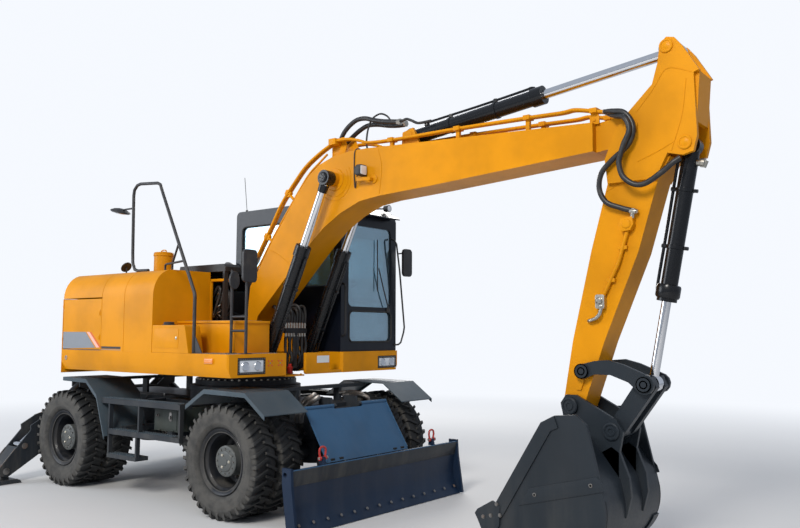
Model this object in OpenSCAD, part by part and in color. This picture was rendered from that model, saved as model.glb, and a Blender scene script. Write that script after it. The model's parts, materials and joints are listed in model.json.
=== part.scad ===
// Wheeled excavator: twin-tyred carrier with blade and stabilisers, slewing upper body,
// one-piece boom, arm and bucket.
// X points ahead over the blade, Y to the cab's side and Z up. The origin is on the ground.
// Every place below is counted from the slewing axis, and place() carries it to the origin.

/* [Carrier] */
// Distance between the two axles
wheelbase = 2690; // [2600:10:2800]
// Distance of the front axle ahead of the slewing axis
front_axle_x = 1050; // [1030:10:1080]
// Diameter of a tyre over its lugs
tyre_d = 1044; // [1030:1:1056]
// Width of one tyre
tyre_w = 272; // [262:1:280]
// Width over the outer tyres
tyres_over_w = 2490; // [2480:5:2520]
// Distance between the two tyres of a pair, centre to centre
twin_pitch = 318; // [312:1:324]
// Half width of the carrier's main beam
beam_half_w = 330; // [300:5:335]
// Height of the main beam's underside
beam_z0 = 660; // [650:5:680]
// Height of the main beam's top
beam_z1 = 990; // [970:5:1010]
// Outer radius of the slewing ring
ring_r = 510; // [480:5:540]

/* [Upper body] */
// Half width of the upper body
body_half_w = 1245; // [1230:5:1260]
// Height of the deck's underside
deck_z0 = 1280; // [1278:1:1290]
// Height of the deck's top
deck_z1 = 1495; // [1485:5:1505]
// Place of the deck's front edge
deck_x1 = 1160; // [1150:5:1180]
// Place of the hood's rear face
hood_x0 = -1676; // [-1690:2:-1660]
// Height where the hood's sides begin to curve in
shoulder_z = 2060; // [2040:5:2080]
// Height of the hood's roof
hood_z1 = 2335; // [2310:5:2350]
// Radius of the counterweight about the slewing axis
tail_r = 2100; // [2080:5:2120]

/* [Cab] */
// Place of the cab's rear wall
cab_x0 = -570; // [-590:5:-560]
// Place of the cab's front
cab_x1 = 1130; // [1110:5:1140]
// Place of the cab's wall beside the boom
cab_y0 = 300; // [300:5:310]
// Height of the cab's roof
cab_z1 = 3130; // [3100:5:3160]
// Thickness of the cab's walls
cab_wall = 40; // [35:1:45]

/* [Boom and arm] */
// Sideways place of the boom's centre plane
boom_y = -100; // [-105:1:-95]
// Width of the boom
boom_w = 360; // [340:5:370]
// Width of the arm
arm_w = 260; // [240:5:270]
// Width of the bucket
bucket_w = 1050; // [1000:10:1100]
// Radius of the boom cylinders' barrels
boom_barrel_r = 68; // [60:1:72]
// Radius of the arm cylinder's barrel
arm_barrel_r = 68; // [60:1:72]
// Radius of the bucket cylinder's barrel
bucket_barrel_r = 62; // [55:1:66]

/* [Hidden] */
$fn = 48;

// Distance from the origin back to the slewing axis: it centres the machine's length
slew_x = -1320;
// Side numbers: left is where the cab is
LEFT = 1;
RIGHT = -1;
SIDES = [LEFT, RIGHT];
// Gap between moving pieces, and the slack of a pin in its eye
gap = 8;
slack = 0.5;

// Colours
orange = [0.93, 0.55, 0.07];
dark_grey = [0.22, 0.23, 0.24];
black = [0.07, 0.07, 0.08];
rubber_black = [0.10, 0.10, 0.10];
rod_chrome = [0.80, 0.80, 0.82];
glass_tint = [0.35, 0.45, 0.50, 0.4];
box_green = [0.45, 0.48, 0.42];

// Wheels
tyre_r = tyre_d / 2;
outer_tyre_y = tyres_over_w / 2 - tyre_w / 2;
inner_tyre_y = outer_tyre_y - twin_pitch;
rear_axle_x = front_axle_x - wheelbase;
kingpin_y = 580;
hub_r = 137;
rim_r = 262;
flange_r = 300;
bore_r = 236;

// Boom and arm: the pins as [x, z]
boom_foot = [370, 1690];
boom_ram_foot = [720, 1380];
boom_ram_head = [1565, 3200];
arm_pivot = [4600, 3270];
arm_ram_foot = [2420, 3535];
arm_ram_head = [4880, 3835];
bucket_ram_foot = [5000, 3090];
bucket_pin = [4070, 1140];
link_foot = [4170, 1410];
link_head = [4660, 1326];
push_foot = [4403, 969];
// Boom cylinders: distance of each from the boom's centre plane
boom_ram_y = 300;
// Distance of each boom bracket plate from the boom's centre plane
bracket_y = boom_w / 2 + 10;

// Blade and stabilisers: the pins as [x, z] and, on one side, [y, z]
blade_pivot = [1400, 450];
blade_ram_foot = [1380, 930];
blade_ram_head = [1800, 380];
blade_ram_y = 248;
// Tie-down holes in the blade's end plates
tie_down = [1922, 505];
tie_down_r = 20;
leg_pivot = [500, 780];
foot_pin = [1560, 140];
leg_ram_foot = [620, 1060];
leg_ram_head = [1360, 400];
leg_x = rear_axle_x - 670;
leg_w = 240;
// Rear end of the main beam, and the towing eye
beam_x0 = leg_x + 160;
tow_x = leg_x - 138;

// Half of x
function half(x) = x / 2;
// Points of an ellipse's arc about c, from angle a to angle b in n steps
function arc(c, rx, rz, a, b, n) =
    [for (i = [0:n]) [c[0] + rx * cos(a + (b - a) * i / n), c[1] + rz * sin(a + (b - a) * i / n)]];
// A strip of thickness t hanging under a line of points
function strip(line, t) =
    concat(line, [for (i = [len(line) - 1:-1:0]) [line[i][0], line[i][1] - t]]);
// Angle of the line from p to q, both [x, z], above the x direction
function rise(p, q) = atan2(q[1] - p[1], q[0] - p[0]);

module place() {
    translate([slew_x, 0, 0]) children();
}

// A box from its low corner to its high corner
module block(lo, hi) {
    translate(lo) cube(hi - lo);
}

// An outline in [x, z], as thick as from y0 to y1
module slab_y(points, y0, y1) {
    translate([0, y1, 0]) rotate([90, 0, 0]) linear_extrude(height = y1 - y0) polygon(points);
}

// An outline in [y, z], as long as from x0 to x1
module slab_x(points, x0, x1) {
    translate([x0, 0, 0]) rotate([90, 0, 90]) linear_extrude(height = x1 - x0) polygon(points);
}

// An outline in [x, y], as high as from z0 to z1
module slab_z(points, z0, z1) {
    translate([0, 0, z0]) linear_extrude(height = z1 - z0) polygon(points);
}

// A round bar across the machine at p = [x, z]
module bar_y(p, r, y0, y1) {
    translate([p[0], y1, p[1]]) rotate([90, 0, 0]) cylinder(h = y1 - y0, r = r);
}

// A round bar along the machine at p = [y, z]
module bar_x(p, r, x0, x1) {
    translate([x0, p[0], p[1]]) rotate([0, 90, 0]) cylinder(h = x1 - x0, r = r);
}

// A round bar between two points
module bar(p, q, r) {
    d = q - p;
    translate(p)
        rotate([0, acos(d[2] / norm(d)), atan2(d[1], d[0])])
            cylinder(h = norm(d), r = r);
}

// A bent round bar through a list of points
module rail(points, r) {
    for (i = [0:len(points) - 2]) bar(points[i], points[i + 1], r);
    for (i = [1:len(points) - 2]) translate(points[i]) sphere(r = r * 1.01);
}

// Mirrors its child to one side: s is LEFT or RIGHT
module to_side(s) {
    if (s == LEFT) children();
    else mirror([0, 1, 0]) children();
}

// A cylinder's barrel in the x-z plane: eye at foot, open end towards head
module barrel(foot, head, r, len, eye_r, eye_w, y, pin_r) {
    difference() {
        union() {
            bar_y(foot, eye_r, y - half(eye_w), y + half(eye_w));
            translate([foot[0], y, foot[1]]) rotate([0, 90 - rise(foot, head), 0]) {
                cylinder(h = len, r = r);
                translate([0, 0, len - 110]) cylinder(h = 110, r = r + 12);
            }
        }
        bar_y(foot, pin_r + slack, y - eye_w, y + eye_w);
    }
}

// A cylinder's rod in the x-z plane: eye at head, inner end at a distance in from it
module rod(foot, head, r, len, eye_r, eye_w, y) {
    bar_y(head, eye_r, y - half(eye_w), y + half(eye_w));
    translate([head[0], y, head[1]]) rotate([0, 270 - rise(foot, head), 0]) cylinder(h = len, r = r);
}

// The hollow in a barrel that its rod slides in
module rod_bore(foot, head, r, from, to, y) {
    translate([foot[0], y, foot[1]]) rotate([0, 90 - rise(foot, head), 0])
        translate([0, 0, from]) cylinder(h = to - from, r = r);
}

// Carrier

module chassis_frame() {
    bracket = [[1300, 600], [1300, 1060], [1460, 1060], [1470, 960], [1470, 380], [1340, 380]];
    housing = [[-600, 690], [-600, 1000], [-690, 1030], [-690, 1130], [-560, 1130], [-420, 1010],
               [420, 1010], [560, 1130], [690, 1130], [690, 1030], [600, 1000], [600, 690]];
    color(dark_grey) place() difference() {
        union() {
            block([beam_x0, -beam_half_w, beam_z0], [1340, beam_half_w, beam_z1]);
            block([-760, -560, 700], [440, 560, 960]);
            translate([0, 0, beam_z1 - 20]) cylinder(h = 1130 - beam_z1 + 20, r = 600, $fn = 64);
            for (s = SIDES) to_side(s) {
                slab_y(bracket, 170, 200);
                slab_y([[1320, 940], [1320, 1000], [1500, 1010], [1525, 985], [1500, 960]], 170, 200);
                bar_y(cover_pin, 12, 190, 240);
                block([front_axle_x - 15, 300, 980], [front_axle_x + 75, 330, 1150]);
                block([rear_axle_x + 180, 300, 980], [rear_axle_x + 270, 330, 1180]);
            }
            block([front_axle_x - 15, -720, 1120], [front_axle_x + 75, 720, 1153.6]);
            block([rear_axle_x + 180, -720, 1150], [rear_axle_x + 270, 720, 1180.2]);
            for (x = [leg_x - 92, leg_x + 72]) slab_x(housing, x, x + 20);
            block([leg_x - 92, -300, 720], [beam_x0 + 10, 300, 960]);
            for (s = SIDES) bar_x([s * leg_pivot[0], leg_pivot[1]], 40, leg_x - half(leg_w), leg_x + half(leg_w));
            for (s = SIDES) bar_x([s * leg_ram_foot[0], leg_ram_foot[1]], 22, leg_x - 92, leg_x + 92);
            bar_y(blade_pivot, 35, -290, 290);
            bar_y(blade_ram_foot, 22, -290, 290);
            block([tow_x - 32, -110, 740], [tow_x + 48, 110, 770]);
        }
        translate([tow_x, 0, 700]) cylinder(h = 120, r = 25);
        block([-700, -250, 640], [-100, 250, 940]);
    }
}

module slew_ring() {
    color(dark_grey) place() difference() {
        union() {
            translate([0, 0, 1130]) cylinder(h = 60, r = ring_r + 40, $fn = 64);
            translate([0, 0, 1190]) cylinder(h = 80, r = ring_r, $fn = 64);
        }
        translate([0, 0, 1120]) cylinder(h = 200, r = ring_r - 110, $fn = 64);
    }
}

// Each fender as a line in [x, z] along its outer edge
front_fender_line = [for (p = [[-500, 1010], [-231, 1168], [335, 1160], [595, 978]]) p + [front_axle_x, 0]];
rear_fender_line = [for (p = [[0, 1195], [464, 1187], [672, 1030], [835, 614]]) p + [rear_axle_x, 0]];

module fenders() {
    color(dark_grey) place() for (s = SIDES) to_side(s) for (line = [front_fender_line, rear_fender_line]) {
        slab_y(strip(line, 10), 700, 1238);
        slab_y(strip(line, 42), 1230, 1238);
    }
}

module side_steps() {
    // Treads as [x0, x1, cut at the front inner corner, z0, z1]
    treads = [[-918, 420, 0, 945, 1000], [-795, 420, 80, 632, 680], [-795, -280, 0, 390, 430]];
    // Posts as [x, z0, z1]
    posts = [[-270, 640, 960], [396, 640, 960], [-795, 400, 960], [-304, 400, 650]];
    color(dark_grey) place() for (s = SIDES) to_side(s) {
        for (t = treads)
            slab_z([[t[0], 1050], [t[1] - t[2], 1050], [t[1], 1150], [t[1], 1200], [t[0], 1200]], t[3], t[4]);
        for (p = posts) block([p[0], 1150, p[1]], [p[0] + 24, 1195, p[2]]);
        for (x = [-760, 40]) block([x, 560.3, 945], [x + 80, 1060, 968]);
        for (x = [-760, 40]) block([x, 520, 645], [x + 80, 1060, 699.7]);
    }
}

module toolboxes() {
    color(box_green) place() for (s = SIDES) to_side(s)
        block([-206, 560, 700], [190, 1040, 935]);
}

// Axles

// Differential: radius that still clears the main beam, and its reach ahead and behind
diff_r = 128;
diff_len = 190;

module axle_beam(half_len) {
    bar_y([0, tyre_r], 95, -half_len, half_len);
    bar_x([0, tyre_r], diff_r - 12, -diff_len, diff_len);
    translate([0, 0, tyre_r - diff_r]) cylinder(h = 2 * diff_r, r = 180);
}

// Steering cylinder behind the axle, [x, z] from the axle's centre
steer_place = [-225, tyre_r - 80];

module front_axle() {
    // Fork plates that hold the steering knuckles, in [x, y]
    fork = concat([[-70, 330], [70, 330]], arc([0, kingpin_y], 66, 66, 0, 180, 12));
    color(dark_grey) place() translate([front_axle_x, 0, 0]) {
        difference() {
            union() {
                axle_beam(420);
                for (s = SIDES) to_side(s) {
                    bar_y([0, tyre_r], 140, 380, 440);
                    for (z = [tyre_r - 150, tyre_r + 115]) slab_z(fork, z, z + 35);
                }
            }
            for (s = SIDES) translate([0, s * kingpin_y, 0]) cylinder(h = 900, r = 30 + slack);
        }
        block([-90, -110, tyre_r + 100], [90, 110, beam_z0]);
        difference() {
            union() {
                bar_y(steer_place, 36, -230, 230);
                for (s = SIDES) to_side(s) block([-215, 130, tyre_r - 100], [-60, 190, tyre_r - 60]);
            }
            bar_y(steer_place, 18 + slack, -400, 400);
        }
    }
}

module steering_rod() {
    color(rod_chrome) place() translate([front_axle_x, 0, 0]) bar_y(steer_place, 18, -520, 520);
}

module rear_axle() {
    color(dark_grey) place() translate([rear_axle_x, 0, 0]) {
        axle_beam(600);
        for (s = SIDES) to_side(s) {
            block([-110, 200, tyre_r + 60], [110, 290, beam_z0]);
            bar_y([0, tyre_r], 130, 560, 640);
            bar_y([0, tyre_r], 55, 630, 668);
        }
    }
}

module driveline() {
    color(dark_grey) place() {
        block([-560, -200, 420], [-200, 200, 640]);
        for (y = [-150, 100]) block([-480, y, 630], [-280, y + 50, 940]);
        bar([-210, 0, tyre_r], [front_axle_x - diff_len, 0, tyre_r], 42);
        bar([-550, 0, tyre_r], [rear_axle_x + diff_len, 0, tyre_r], 42);
    }
}

// A knuckle on the left side, about its kingpin
module knuckle(s) {
    color(dark_grey) place() translate([front_axle_x, 0, 0]) to_side(s) {
        translate([0, kingpin_y, tyre_r - 105]) cylinder(h = 210, r = 62);
        translate([0, kingpin_y, tyre_r - 158]) cylinder(h = 316, r = 30);
        bar_y([0, tyre_r], 55, kingpin_y, 668);
        bar_y([0, tyre_r], 120, 650, 668);
        block([-245, kingpin_y - 40, tyre_r - 100], [0, kingpin_y + 20, tyre_r - 60]);
    }
}

module knuckle_left() { knuckle(LEFT); }
module knuckle_right() { knuckle(RIGHT); }

// Wheels: outlines as [radius, distance from the tyre's middle plane]

bead_y = 87;
tyre_outline = [
    [rim_r, -bead_y], [flange_r + 2, -bead_y], [330, -124], [400, -136], [455, -132], [tyre_r - 22, -118],
    [tyre_r, -104], [tyre_r, 104], [tyre_r - 22, 118], [455, 132], [400, 136], [330, 124],
    [flange_r + 2, bead_y], [rim_r, bead_y]
];
rim_outline = [
    [bore_r, -104], [flange_r - 4, -104], [flange_r, -98], [flange_r, -92], [rim_r, -88],
    [rim_r, 88], [flange_r, 92], [flange_r, 98], [flange_r - 4, 104], [bore_r, 104]
];

// Turns a shape made round Z into one round Y at a wheel's place
module at_wheel(x, y) {
    translate([x, y, tyre_r]) rotate([-90, 0, 0]) children();
}

module tyres(x, s) {
    color(rubber_black) place() to_side(s) for (y = [inner_tyre_y, outer_tyre_y])
        at_wheel(x, y) rotate_extrude($fn = 64) polygon(tyre_outline);
}

module rims(x, s) {
    web_y = half(inner_tyre_y + outer_tyre_y);
    color(dark_grey) place() to_side(s) {
        for (y = [inner_tyre_y, outer_tyre_y])
            at_wheel(x, y) rotate_extrude($fn = 64) polygon(rim_outline);
        at_wheel(x, web_y - 60) difference() {
            cylinder(h = 120, r = 258, $fn = 64);
            translate([0, 0, -5]) cylinder(h = 45, r = 236, $fn = 64);
            translate([0, 0, 80]) cylinder(h = 45, r = 236, $fn = 64);
        }
        at_wheel(x, 676) cylinder(h = 1165 - 676, r = hub_r);
        at_wheel(x, 1160) cylinder(h = 20, r = hub_r - 25);
    }
}

module tyres_front_left() { tyres(front_axle_x, LEFT); }
module tyres_front_right() { tyres(front_axle_x, RIGHT); }
module tyres_rear_left() { tyres(rear_axle_x, LEFT); }
module tyres_rear_right() { tyres(rear_axle_x, RIGHT); }
module rims_front_left() { rims(front_axle_x, LEFT); }
module rims_front_right() { rims(front_axle_x, RIGHT); }
module rims_rear_left() { rims(rear_axle_x, LEFT); }
module rims_rear_right() { rims(rear_axle_x, RIGHT); }

// Blade

blade_face = [[1985, 540], [1955, 400], [1940, 260], [1955, 130], [2030, 6]];

module blade_arms() {
    side = [[1360, 410], [1360, 490], [1440, 492], [1830, 318], [1880, 318], [1880, 190], [1780, 190]];
    ear = [[1740, 300], [1755, 395], [1780, 415], [1815, 415], [1835, 385], [1845, 300]];
    color(dark_grey) place() difference() {
        union() {
            for (s = SIDES) to_side(s) {
                slab_y(side, 215, 275);
                slab_y(ear, 180, 216);
                bar_y(blade_ram_head, 24, 180, 222);
            }
            block([1800, -275, 200], [1880, 275, 320]);
        }
        bar_y(blade_pivot, 35 + slack, -400, 400);
    }
}

// Flat cover over the blade's cylinders, hinged along its top edge: [x, z]
cover_pin = [1500, 985];
cover_end = [1802, 513];

module blade_cover() {
    color(dark_grey) place() {
        difference() {
            union() {
                for (s = SIDES) to_side(s) bar_y(cover_pin, 20, 205, 600);
                translate([cover_pin[0], 0, cover_pin[1]]) rotate([0, -rise(cover_pin, cover_end), 0])
                    block([15, -600, -5], [norm(cover_end - cover_pin), 600, 5]);
            }
            bar_y(cover_pin, 12 + slack, -300, 300);
            bar_y(cover_pin, 35, -205, 205);
        }
    }
}

module dozer_blade() {
    half_w = body_half_w;
    end_plate = [[1886, 560], [1990, 560], [2000, 400], [2060, 12], [1950, 12], [1886, 430]];
    lug = [[1915, 540], [1925, 610], [1965, 610], [1980, 540]];
    color(dark_grey) place() difference() {
        union() {
            slab_y(concat(blade_face, [for (i = [4:-1:0]) blade_face[i] - [26, 0]]), -half_w + 20, half_w - 20);
            for (s = SIDES) to_side(s) {
                slab_y(end_plate, half_w - 28, half_w);
                slab_y(lug, 800, 830);
            }
            block([1900, -half_w + 90, 470], [1952, half_w - 90, 530]);
            block([1880, -320, 190], [1925, 320, 330]);
        }
        for (s = SIDES) to_side(s) bar_y(tie_down, tie_down_r, half_w - 40, half_w + 10);
    }
}

module blade_barrels() {
    color(black) place() for (s = SIDES) difference() {
        barrel(blade_ram_foot, blade_ram_head, 42, 400, 40, 50, s * blade_ram_y, 22);
        rod_bore(blade_ram_foot, blade_ram_head, 24, 80, 401, s * blade_ram_y);
    }
}

module blade_rods() {
    color(rod_chrome) place() for (s = SIDES)
        rod(blade_ram_foot, blade_ram_head, 23, 420, 34, 36, s * blade_ram_y);
}

// Stabilisers, drawn on the left side: outlines as [y, z]

module stabiliser_leg(s) {
    cheek = [[420, 720], [400, 800], [440, 870], [540, 890], [1200, 560], [1460, 290], [1610, 150],
             [1590, 80], [1500, 80], [1120, 300], [560, 680]];
    floor_line = [[1455, 126], [1120, 320], [640, 640]];
    color(dark_grey) place() to_side(s) difference() {
        union() {
            for (x = [leg_x - half(leg_w), leg_x + half(leg_w) - 20]) slab_x(cheek, x, x + 20);
            slab_x(strip(floor_line, 20), leg_x - half(leg_w) + 5, leg_x + half(leg_w) - 5);
        }
        bar_x(leg_pivot, 40 + slack, leg_x - leg_w, leg_x + leg_w);
        bar_x(foot_pin, 25 + slack, leg_x - leg_w, leg_x + leg_w);
    }
}

module stabiliser_foot(s) {
    pad = [[1400, 2], [1420, 34], [1500, 40], [1620, 40], [1700, 34], [1720, 2]];
    ear = [[1510, 36], [1530, 170], [1590, 170], [1610, 36]];
    color(dark_grey) place() to_side(s) union() {
        slab_x(pad, leg_x - 170, leg_x + 170);
        for (x = [leg_x - 92, leg_x + 72]) slab_x(ear, x, x + 20);
        bar_x(foot_pin, 25, leg_x - half(leg_w), leg_x + half(leg_w));
    }
}

// Stands a cylinder drawn in the x-z plane across the machine
module across(s) {
    translate([leg_x, 0, 0]) to_side(s) rotate([0, 0, 90]) children();
}

module stabiliser_barrel(s) {
    color(black) place() across(s) difference() {
        barrel(leg_ram_foot, leg_ram_head, 50, 560, 45, 100, 0, 22);
        rod_bore(leg_ram_foot, leg_ram_head, 31, 80, 561, 0);
    }
}

module stabiliser_rod(s) {
    color(rod_chrome) place() across(s) rod(leg_ram_foot, leg_ram_head, 30, 530, 42, 150, 0);
}

module stabiliser_leg_left() { stabiliser_leg(LEFT); }
module stabiliser_leg_right() { stabiliser_leg(RIGHT); }
module stabiliser_foot_left() { stabiliser_foot(LEFT); }
module stabiliser_foot_right() { stabiliser_foot(RIGHT); }
module stabiliser_barrel_left() { stabiliser_barrel(LEFT); }
module stabiliser_barrel_right() { stabiliser_barrel(RIGHT); }
module stabiliser_rod_left() { stabiliser_rod(LEFT); }
module stabiliser_rod_right() { stabiliser_rod(RIGHT); }

// Upper body

bay_y = [-490, 290];
bay_x = 560;

module upper_frame() {
    outline = [
        [hood_x0, -body_half_w], [deck_x1 - 100, -body_half_w], [deck_x1, -body_half_w + 100],
        [deck_x1, bay_y[0]], [bay_x, bay_y[0]], [bay_x, bay_y[1]], [deck_x1, bay_y[1]],
        [deck_x1, body_half_w - 100], [deck_x1 - 100, body_half_w], [hood_x0, body_half_w]
    ];
    // Hollows in the deck's underside as [x0, y0, x1, y1]
    hollows = [
        [-1600, -1200, -60, -680], [0, -1200, 1060, -560], [-1600, 680, -60, 1200], [0, 380, 1060, 1200]
    ];
    bracket = [[-420, 1480], [230, 1800], [370, 1812], [470, 1760], [820, 1440], [815, 1310], [700, 1285],
               [-420, 1285]];
    color(orange) place() difference() {
        union() {
            slab_z(outline, deck_z0, deck_z1);
            for (s = SIDES) translate([0, boom_y, 0]) to_side(s) {
                slab_y(bracket, bracket_y, bracket_y + 32);
                bar_y(boom_ram_foot, 40, bracket_y, boom_ram_y + 62);
            }
            bar_y(boom_foot, 45, boom_y - bracket_y - 50, boom_y + bracket_y + 50);
        }
        for (h = hollows) block([h[0], h[1], deck_z0 - 1], [h[2], h[3], deck_z1 - 25]);
        block([bay_x - 1, boom_y - bracket_y, deck_z0 - 1], [900, boom_y + bracket_y, 1330]);
    }
}

module counterweight() {
    outline = concat([[hood_x0 - 4, -body_half_w]], arc([0, 0], tail_r, tail_r, 180 + 36, 180 - 36, 24),
                     [[hood_x0 - 4, body_half_w]]);
    color(orange) place() intersection() {
        slab_z(outline, 1240, shoulder_z);
        block([-tail_r - 50, -body_half_w, 1100], [hood_x0 - 4, body_half_w, shoulder_z + 40]);
    }
}

// The hood's section in [y, z], set in by t from its skin
function hood_section(t) = concat(
    [[-body_half_w + t, deck_z1 + t]],
    arc([-body_half_w + 225, shoulder_z], 225 - t, hood_z1 - shoulder_z - t, 180, 90, 8),
    arc([body_half_w - 225, shoulder_z], 225 - t, hood_z1 - shoulder_z - t, 90, 0, 8),
    [[body_half_w - t, deck_z1 + t]]
);
hood_skin = 14;
lid_x1 = -905;
tank_x1 = 0;
tank_y1 = -530;

module engine_hood() {
    color(orange) place() difference() {
        union() {
            difference() {
                slab_x(hood_section(0), hood_x0, cab_x0 - 20);
                slab_x(hood_section(hood_skin), hood_x0 + hood_skin, cab_x0 - 20 - hood_skin);
            }
            intersection() {
                slab_x(hood_section(0), cab_x0 - 21, tank_x1);
                block([cab_x0 - 30, -body_half_w - 50, deck_z1], [tank_x1, tank_y1, hood_z1 + 60]);
            }
        }
        // Openings for the doors and the lid
        for (s = SIDES) to_side(s)
            block([hood_x0 + 6, body_half_w - 60, deck_z1 + 5], [lid_x1 + 6, body_half_w + 20, shoulder_z - 3]);
        block([hood_x0 - 10, -body_half_w - 50, shoulder_z - 3], [lid_x1 + 6, body_half_w + 50, hood_z1 + 60]);
    }
}

module engine_lid() {
    color(orange) place() difference() {
        slab_x(hood_section(0), hood_x0 + 3, lid_x1);
        slab_x(hood_section(hood_skin), hood_x0 + hood_skin, lid_x1 + 10);
        block([hood_x0 - 100, -body_half_w - 50, deck_z0], [0, body_half_w + 50, shoulder_z + 3]);
    }
}

module side_door(s) {
    color(orange) place() to_side(s)
        block([hood_x0 + 14, body_half_w - 24, deck_z1 + 12], [lid_x1, body_half_w, shoulder_z - 9]);
}

module side_door_left() { side_door(LEFT); }
module side_door_right() { side_door(RIGHT); }

module engine_block() {
    color(dark_grey) place() block([-1450, -420, deck_z1 + hood_skin], [-880, 420, 2120]);
}

module fuel_tank() {
    color(orange) place() {
        block([6, -940, deck_z1], [900, bay_y[0] - 10, 1810]);
        block([6, -body_half_w, deck_z1], [585, -950, 1755]);
    }
}

module centre_cover() {
    roof = [[-560, 2340], [-540, 2420], [-70, 2420], [-40, 2390], [-40, 2340]];
    side_roof = [[-60, 2340], [-60, 2420], [190, 2420], [230, 2390], [230, 2340]];
    color(black) place() {
        slab_y(roof, tank_y1 + 8, cab_y0 - 30);
        slab_y(side_roof, tank_y1 + 8, boom_y - half(boom_w) - 30);
        block([-560, tank_y1 + 8, deck_z1], [-500, cab_y0 - 30, 2345]);
        block([-560, cab_y0 - 50, deck_z1], [-40, cab_y0 - 30, 2345]);
        block([190, tank_y1 + 8, 1812], [220, tank_y1 + 60, 2345]);
    }
}

module valve_block() {
    color(black) place() block([-440, -285, deck_z1], [-60, 85, 2150]);
}

// Ladder at the right platform's front edge
ladder_x = 1100;
ladder_y = [-body_half_w + 55, -body_half_w + 245];
arch_y = -body_half_w + 285;

module handrails() {
    // The arch over the hood in [x, z], from the roof to the toolbox ahead
    arch = [[-790, hood_z1 + 0.3], [-800, 3230], [-720, 3310], [-340, 3280], [280, 2060], [285, 1755.6]];
    color(black) place() {
        rail([for (p = arch) [p[0], arch_y, p[1]]], 17);
        for (y = ladder_y) bar([ladder_x, y, deck_z1], [ladder_x, y, 2300], 15);
        for (z = [1800, 1950, 2290]) bar([ladder_x, ladder_y[0], z], [ladder_x, ladder_y[1], z], 12);
        // Tall mirror on the inner post, round mirror on the arch
        block([ladder_x - 15, ladder_y[1] - 60, 2180], [ladder_x + 25, ladder_y[1] + 60, 2470]);
        bar([-795, arch_y, 3050], [-1020, arch_y, 3050], 10);
        translate([-1045, arch_y, 3050]) rotate([0, 90, 0]) cylinder(h = 30, r = 110);
    }
}

// Cab

// The cab's side in [x, z], set in by t from its skin
function cab_side(t) = concat(
    [[cab_x0 + t, deck_z1 + t]],
    arc([cab_x0 + 60, cab_z1 - 60], 60 - t, 60 - t, 180, 90, 4),
    arc([cab_x1 - 240, cab_z1 - 190], 240 - t, 190 - t, 90, 8, 8),
    [[cab_x1 - t, deck_z1 + t]]
);
// Door opening as [x0, z0, x1, z1]
doorway = [200, 1560, 1050, 2960];

module cab_shell() {
    y1 = body_half_w;
    color(black) place() difference() {
        slab_y(cab_side(0), cab_y0, y1);
        slab_y(cab_side(cab_wall), cab_y0 + cab_wall, y1 - cab_wall);
        block([doorway[0], y1 - 60, doorway[1]], [doorway[2], y1 + 10, doorway[3]]);
        block([-460, y1 - 60, 2200], [120, y1 + 10, 2960]);
        block([-460, cab_y0 - 10, 2200], [1030, cab_y0 + 60, 2940]);
        block([cab_x0 - 10, cab_y0 + 90, 2250], [cab_x0 + 60, y1 - 90, 2980]);
        block([cab_x1 - 110, cab_y0 + 50, 1580], [cab_x1 + 10, y1 - 50, 2900]);
    }
}

module cab_door() {
    y1 = body_half_w;
    color(black) place() difference() {
        block([doorway[0] + 8, y1 - cab_wall, doorway[1] + 8], [doorway[2] - 8, y1, doorway[3] - 8]);
        block([doorway[0] + 70, y1 - 60, 2100], [doorway[2] - 70, y1 + 10, doorway[3] - 70]);
        block([doorway[0] + 70, y1 - 60, 1640], [doorway[2] - 70, y1 + 10, 2040]);
    }
}

module cab_glass() {
    y1 = body_half_w;
    color(glass_tint) place() {
        block([-460, y1 - 24, 2200], [120, y1 - 18, 2960]);
        block([-460, cab_y0 + 18, 2200], [1030, cab_y0 + 24, 2940]);
        block([cab_x0 + 18, cab_y0 + 90, 2250], [cab_x0 + 24, y1 - 90, 2980]);
        block([cab_x1 - 24, cab_y0 + 50, 1580], [cab_x1 - 18, y1 - 50, 2880]);
    }
}

module door_glass() {
    y1 = body_half_w;
    color(glass_tint) place() {
        block([doorway[0] + 70, y1 - 24, 2100], [doorway[2] - 70, y1 - 18, doorway[3] - 70]);
        block([doorway[0] + 70, y1 - 24, 1640], [doorway[2] - 70, y1 - 18, 2040]);
    }
}

cab_floor = deck_z1 + cab_wall;

module cab_interior() {
    mid = half(cab_y0 + body_half_w);
    back = [[-260, 2030], [-350, 2640], [-270, 2660], [-150, 2040]];
    color(dark_grey) place() {
        block([-250, mid - 240, cab_floor], [250, mid + 240, 1840]);
        block([-260, mid - 250, 1840], [260, mid + 250, 1990]);
        slab_y(back, mid - 230, mid + 230);
        block([-260, mid - 230, 1980], [-150, mid + 230, 2050]);
        for (y = [mid - 330, mid + 250]) block([-60, y, cab_floor], [330, y + 80, 2080]);
        bar([900, mid, cab_floor + 8.8], [720, mid, 2210], 32);
        translate([720, mid, 2210]) rotate([0, -15, 0]) cylinder(h = 26, r = 190);
    }
}

// Boom: outline as [x, z] from the foot along the top and back along the underside

boom_outline = [
    [300, 1760], [350, 2180], [690, 2665], [1055, 3125], [1200, 3280], [1340, 3375], [1530, 3435],
    [1760, 3462], [1970, 3460], [4290, 3345], [4290, 3115], [2725, 3015], [2116, 2984], [1881, 2955],
    [1638, 2862], [1424, 2740], [1240, 2590], [859, 2226], [480, 1870], [440, 1760]
];

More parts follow.
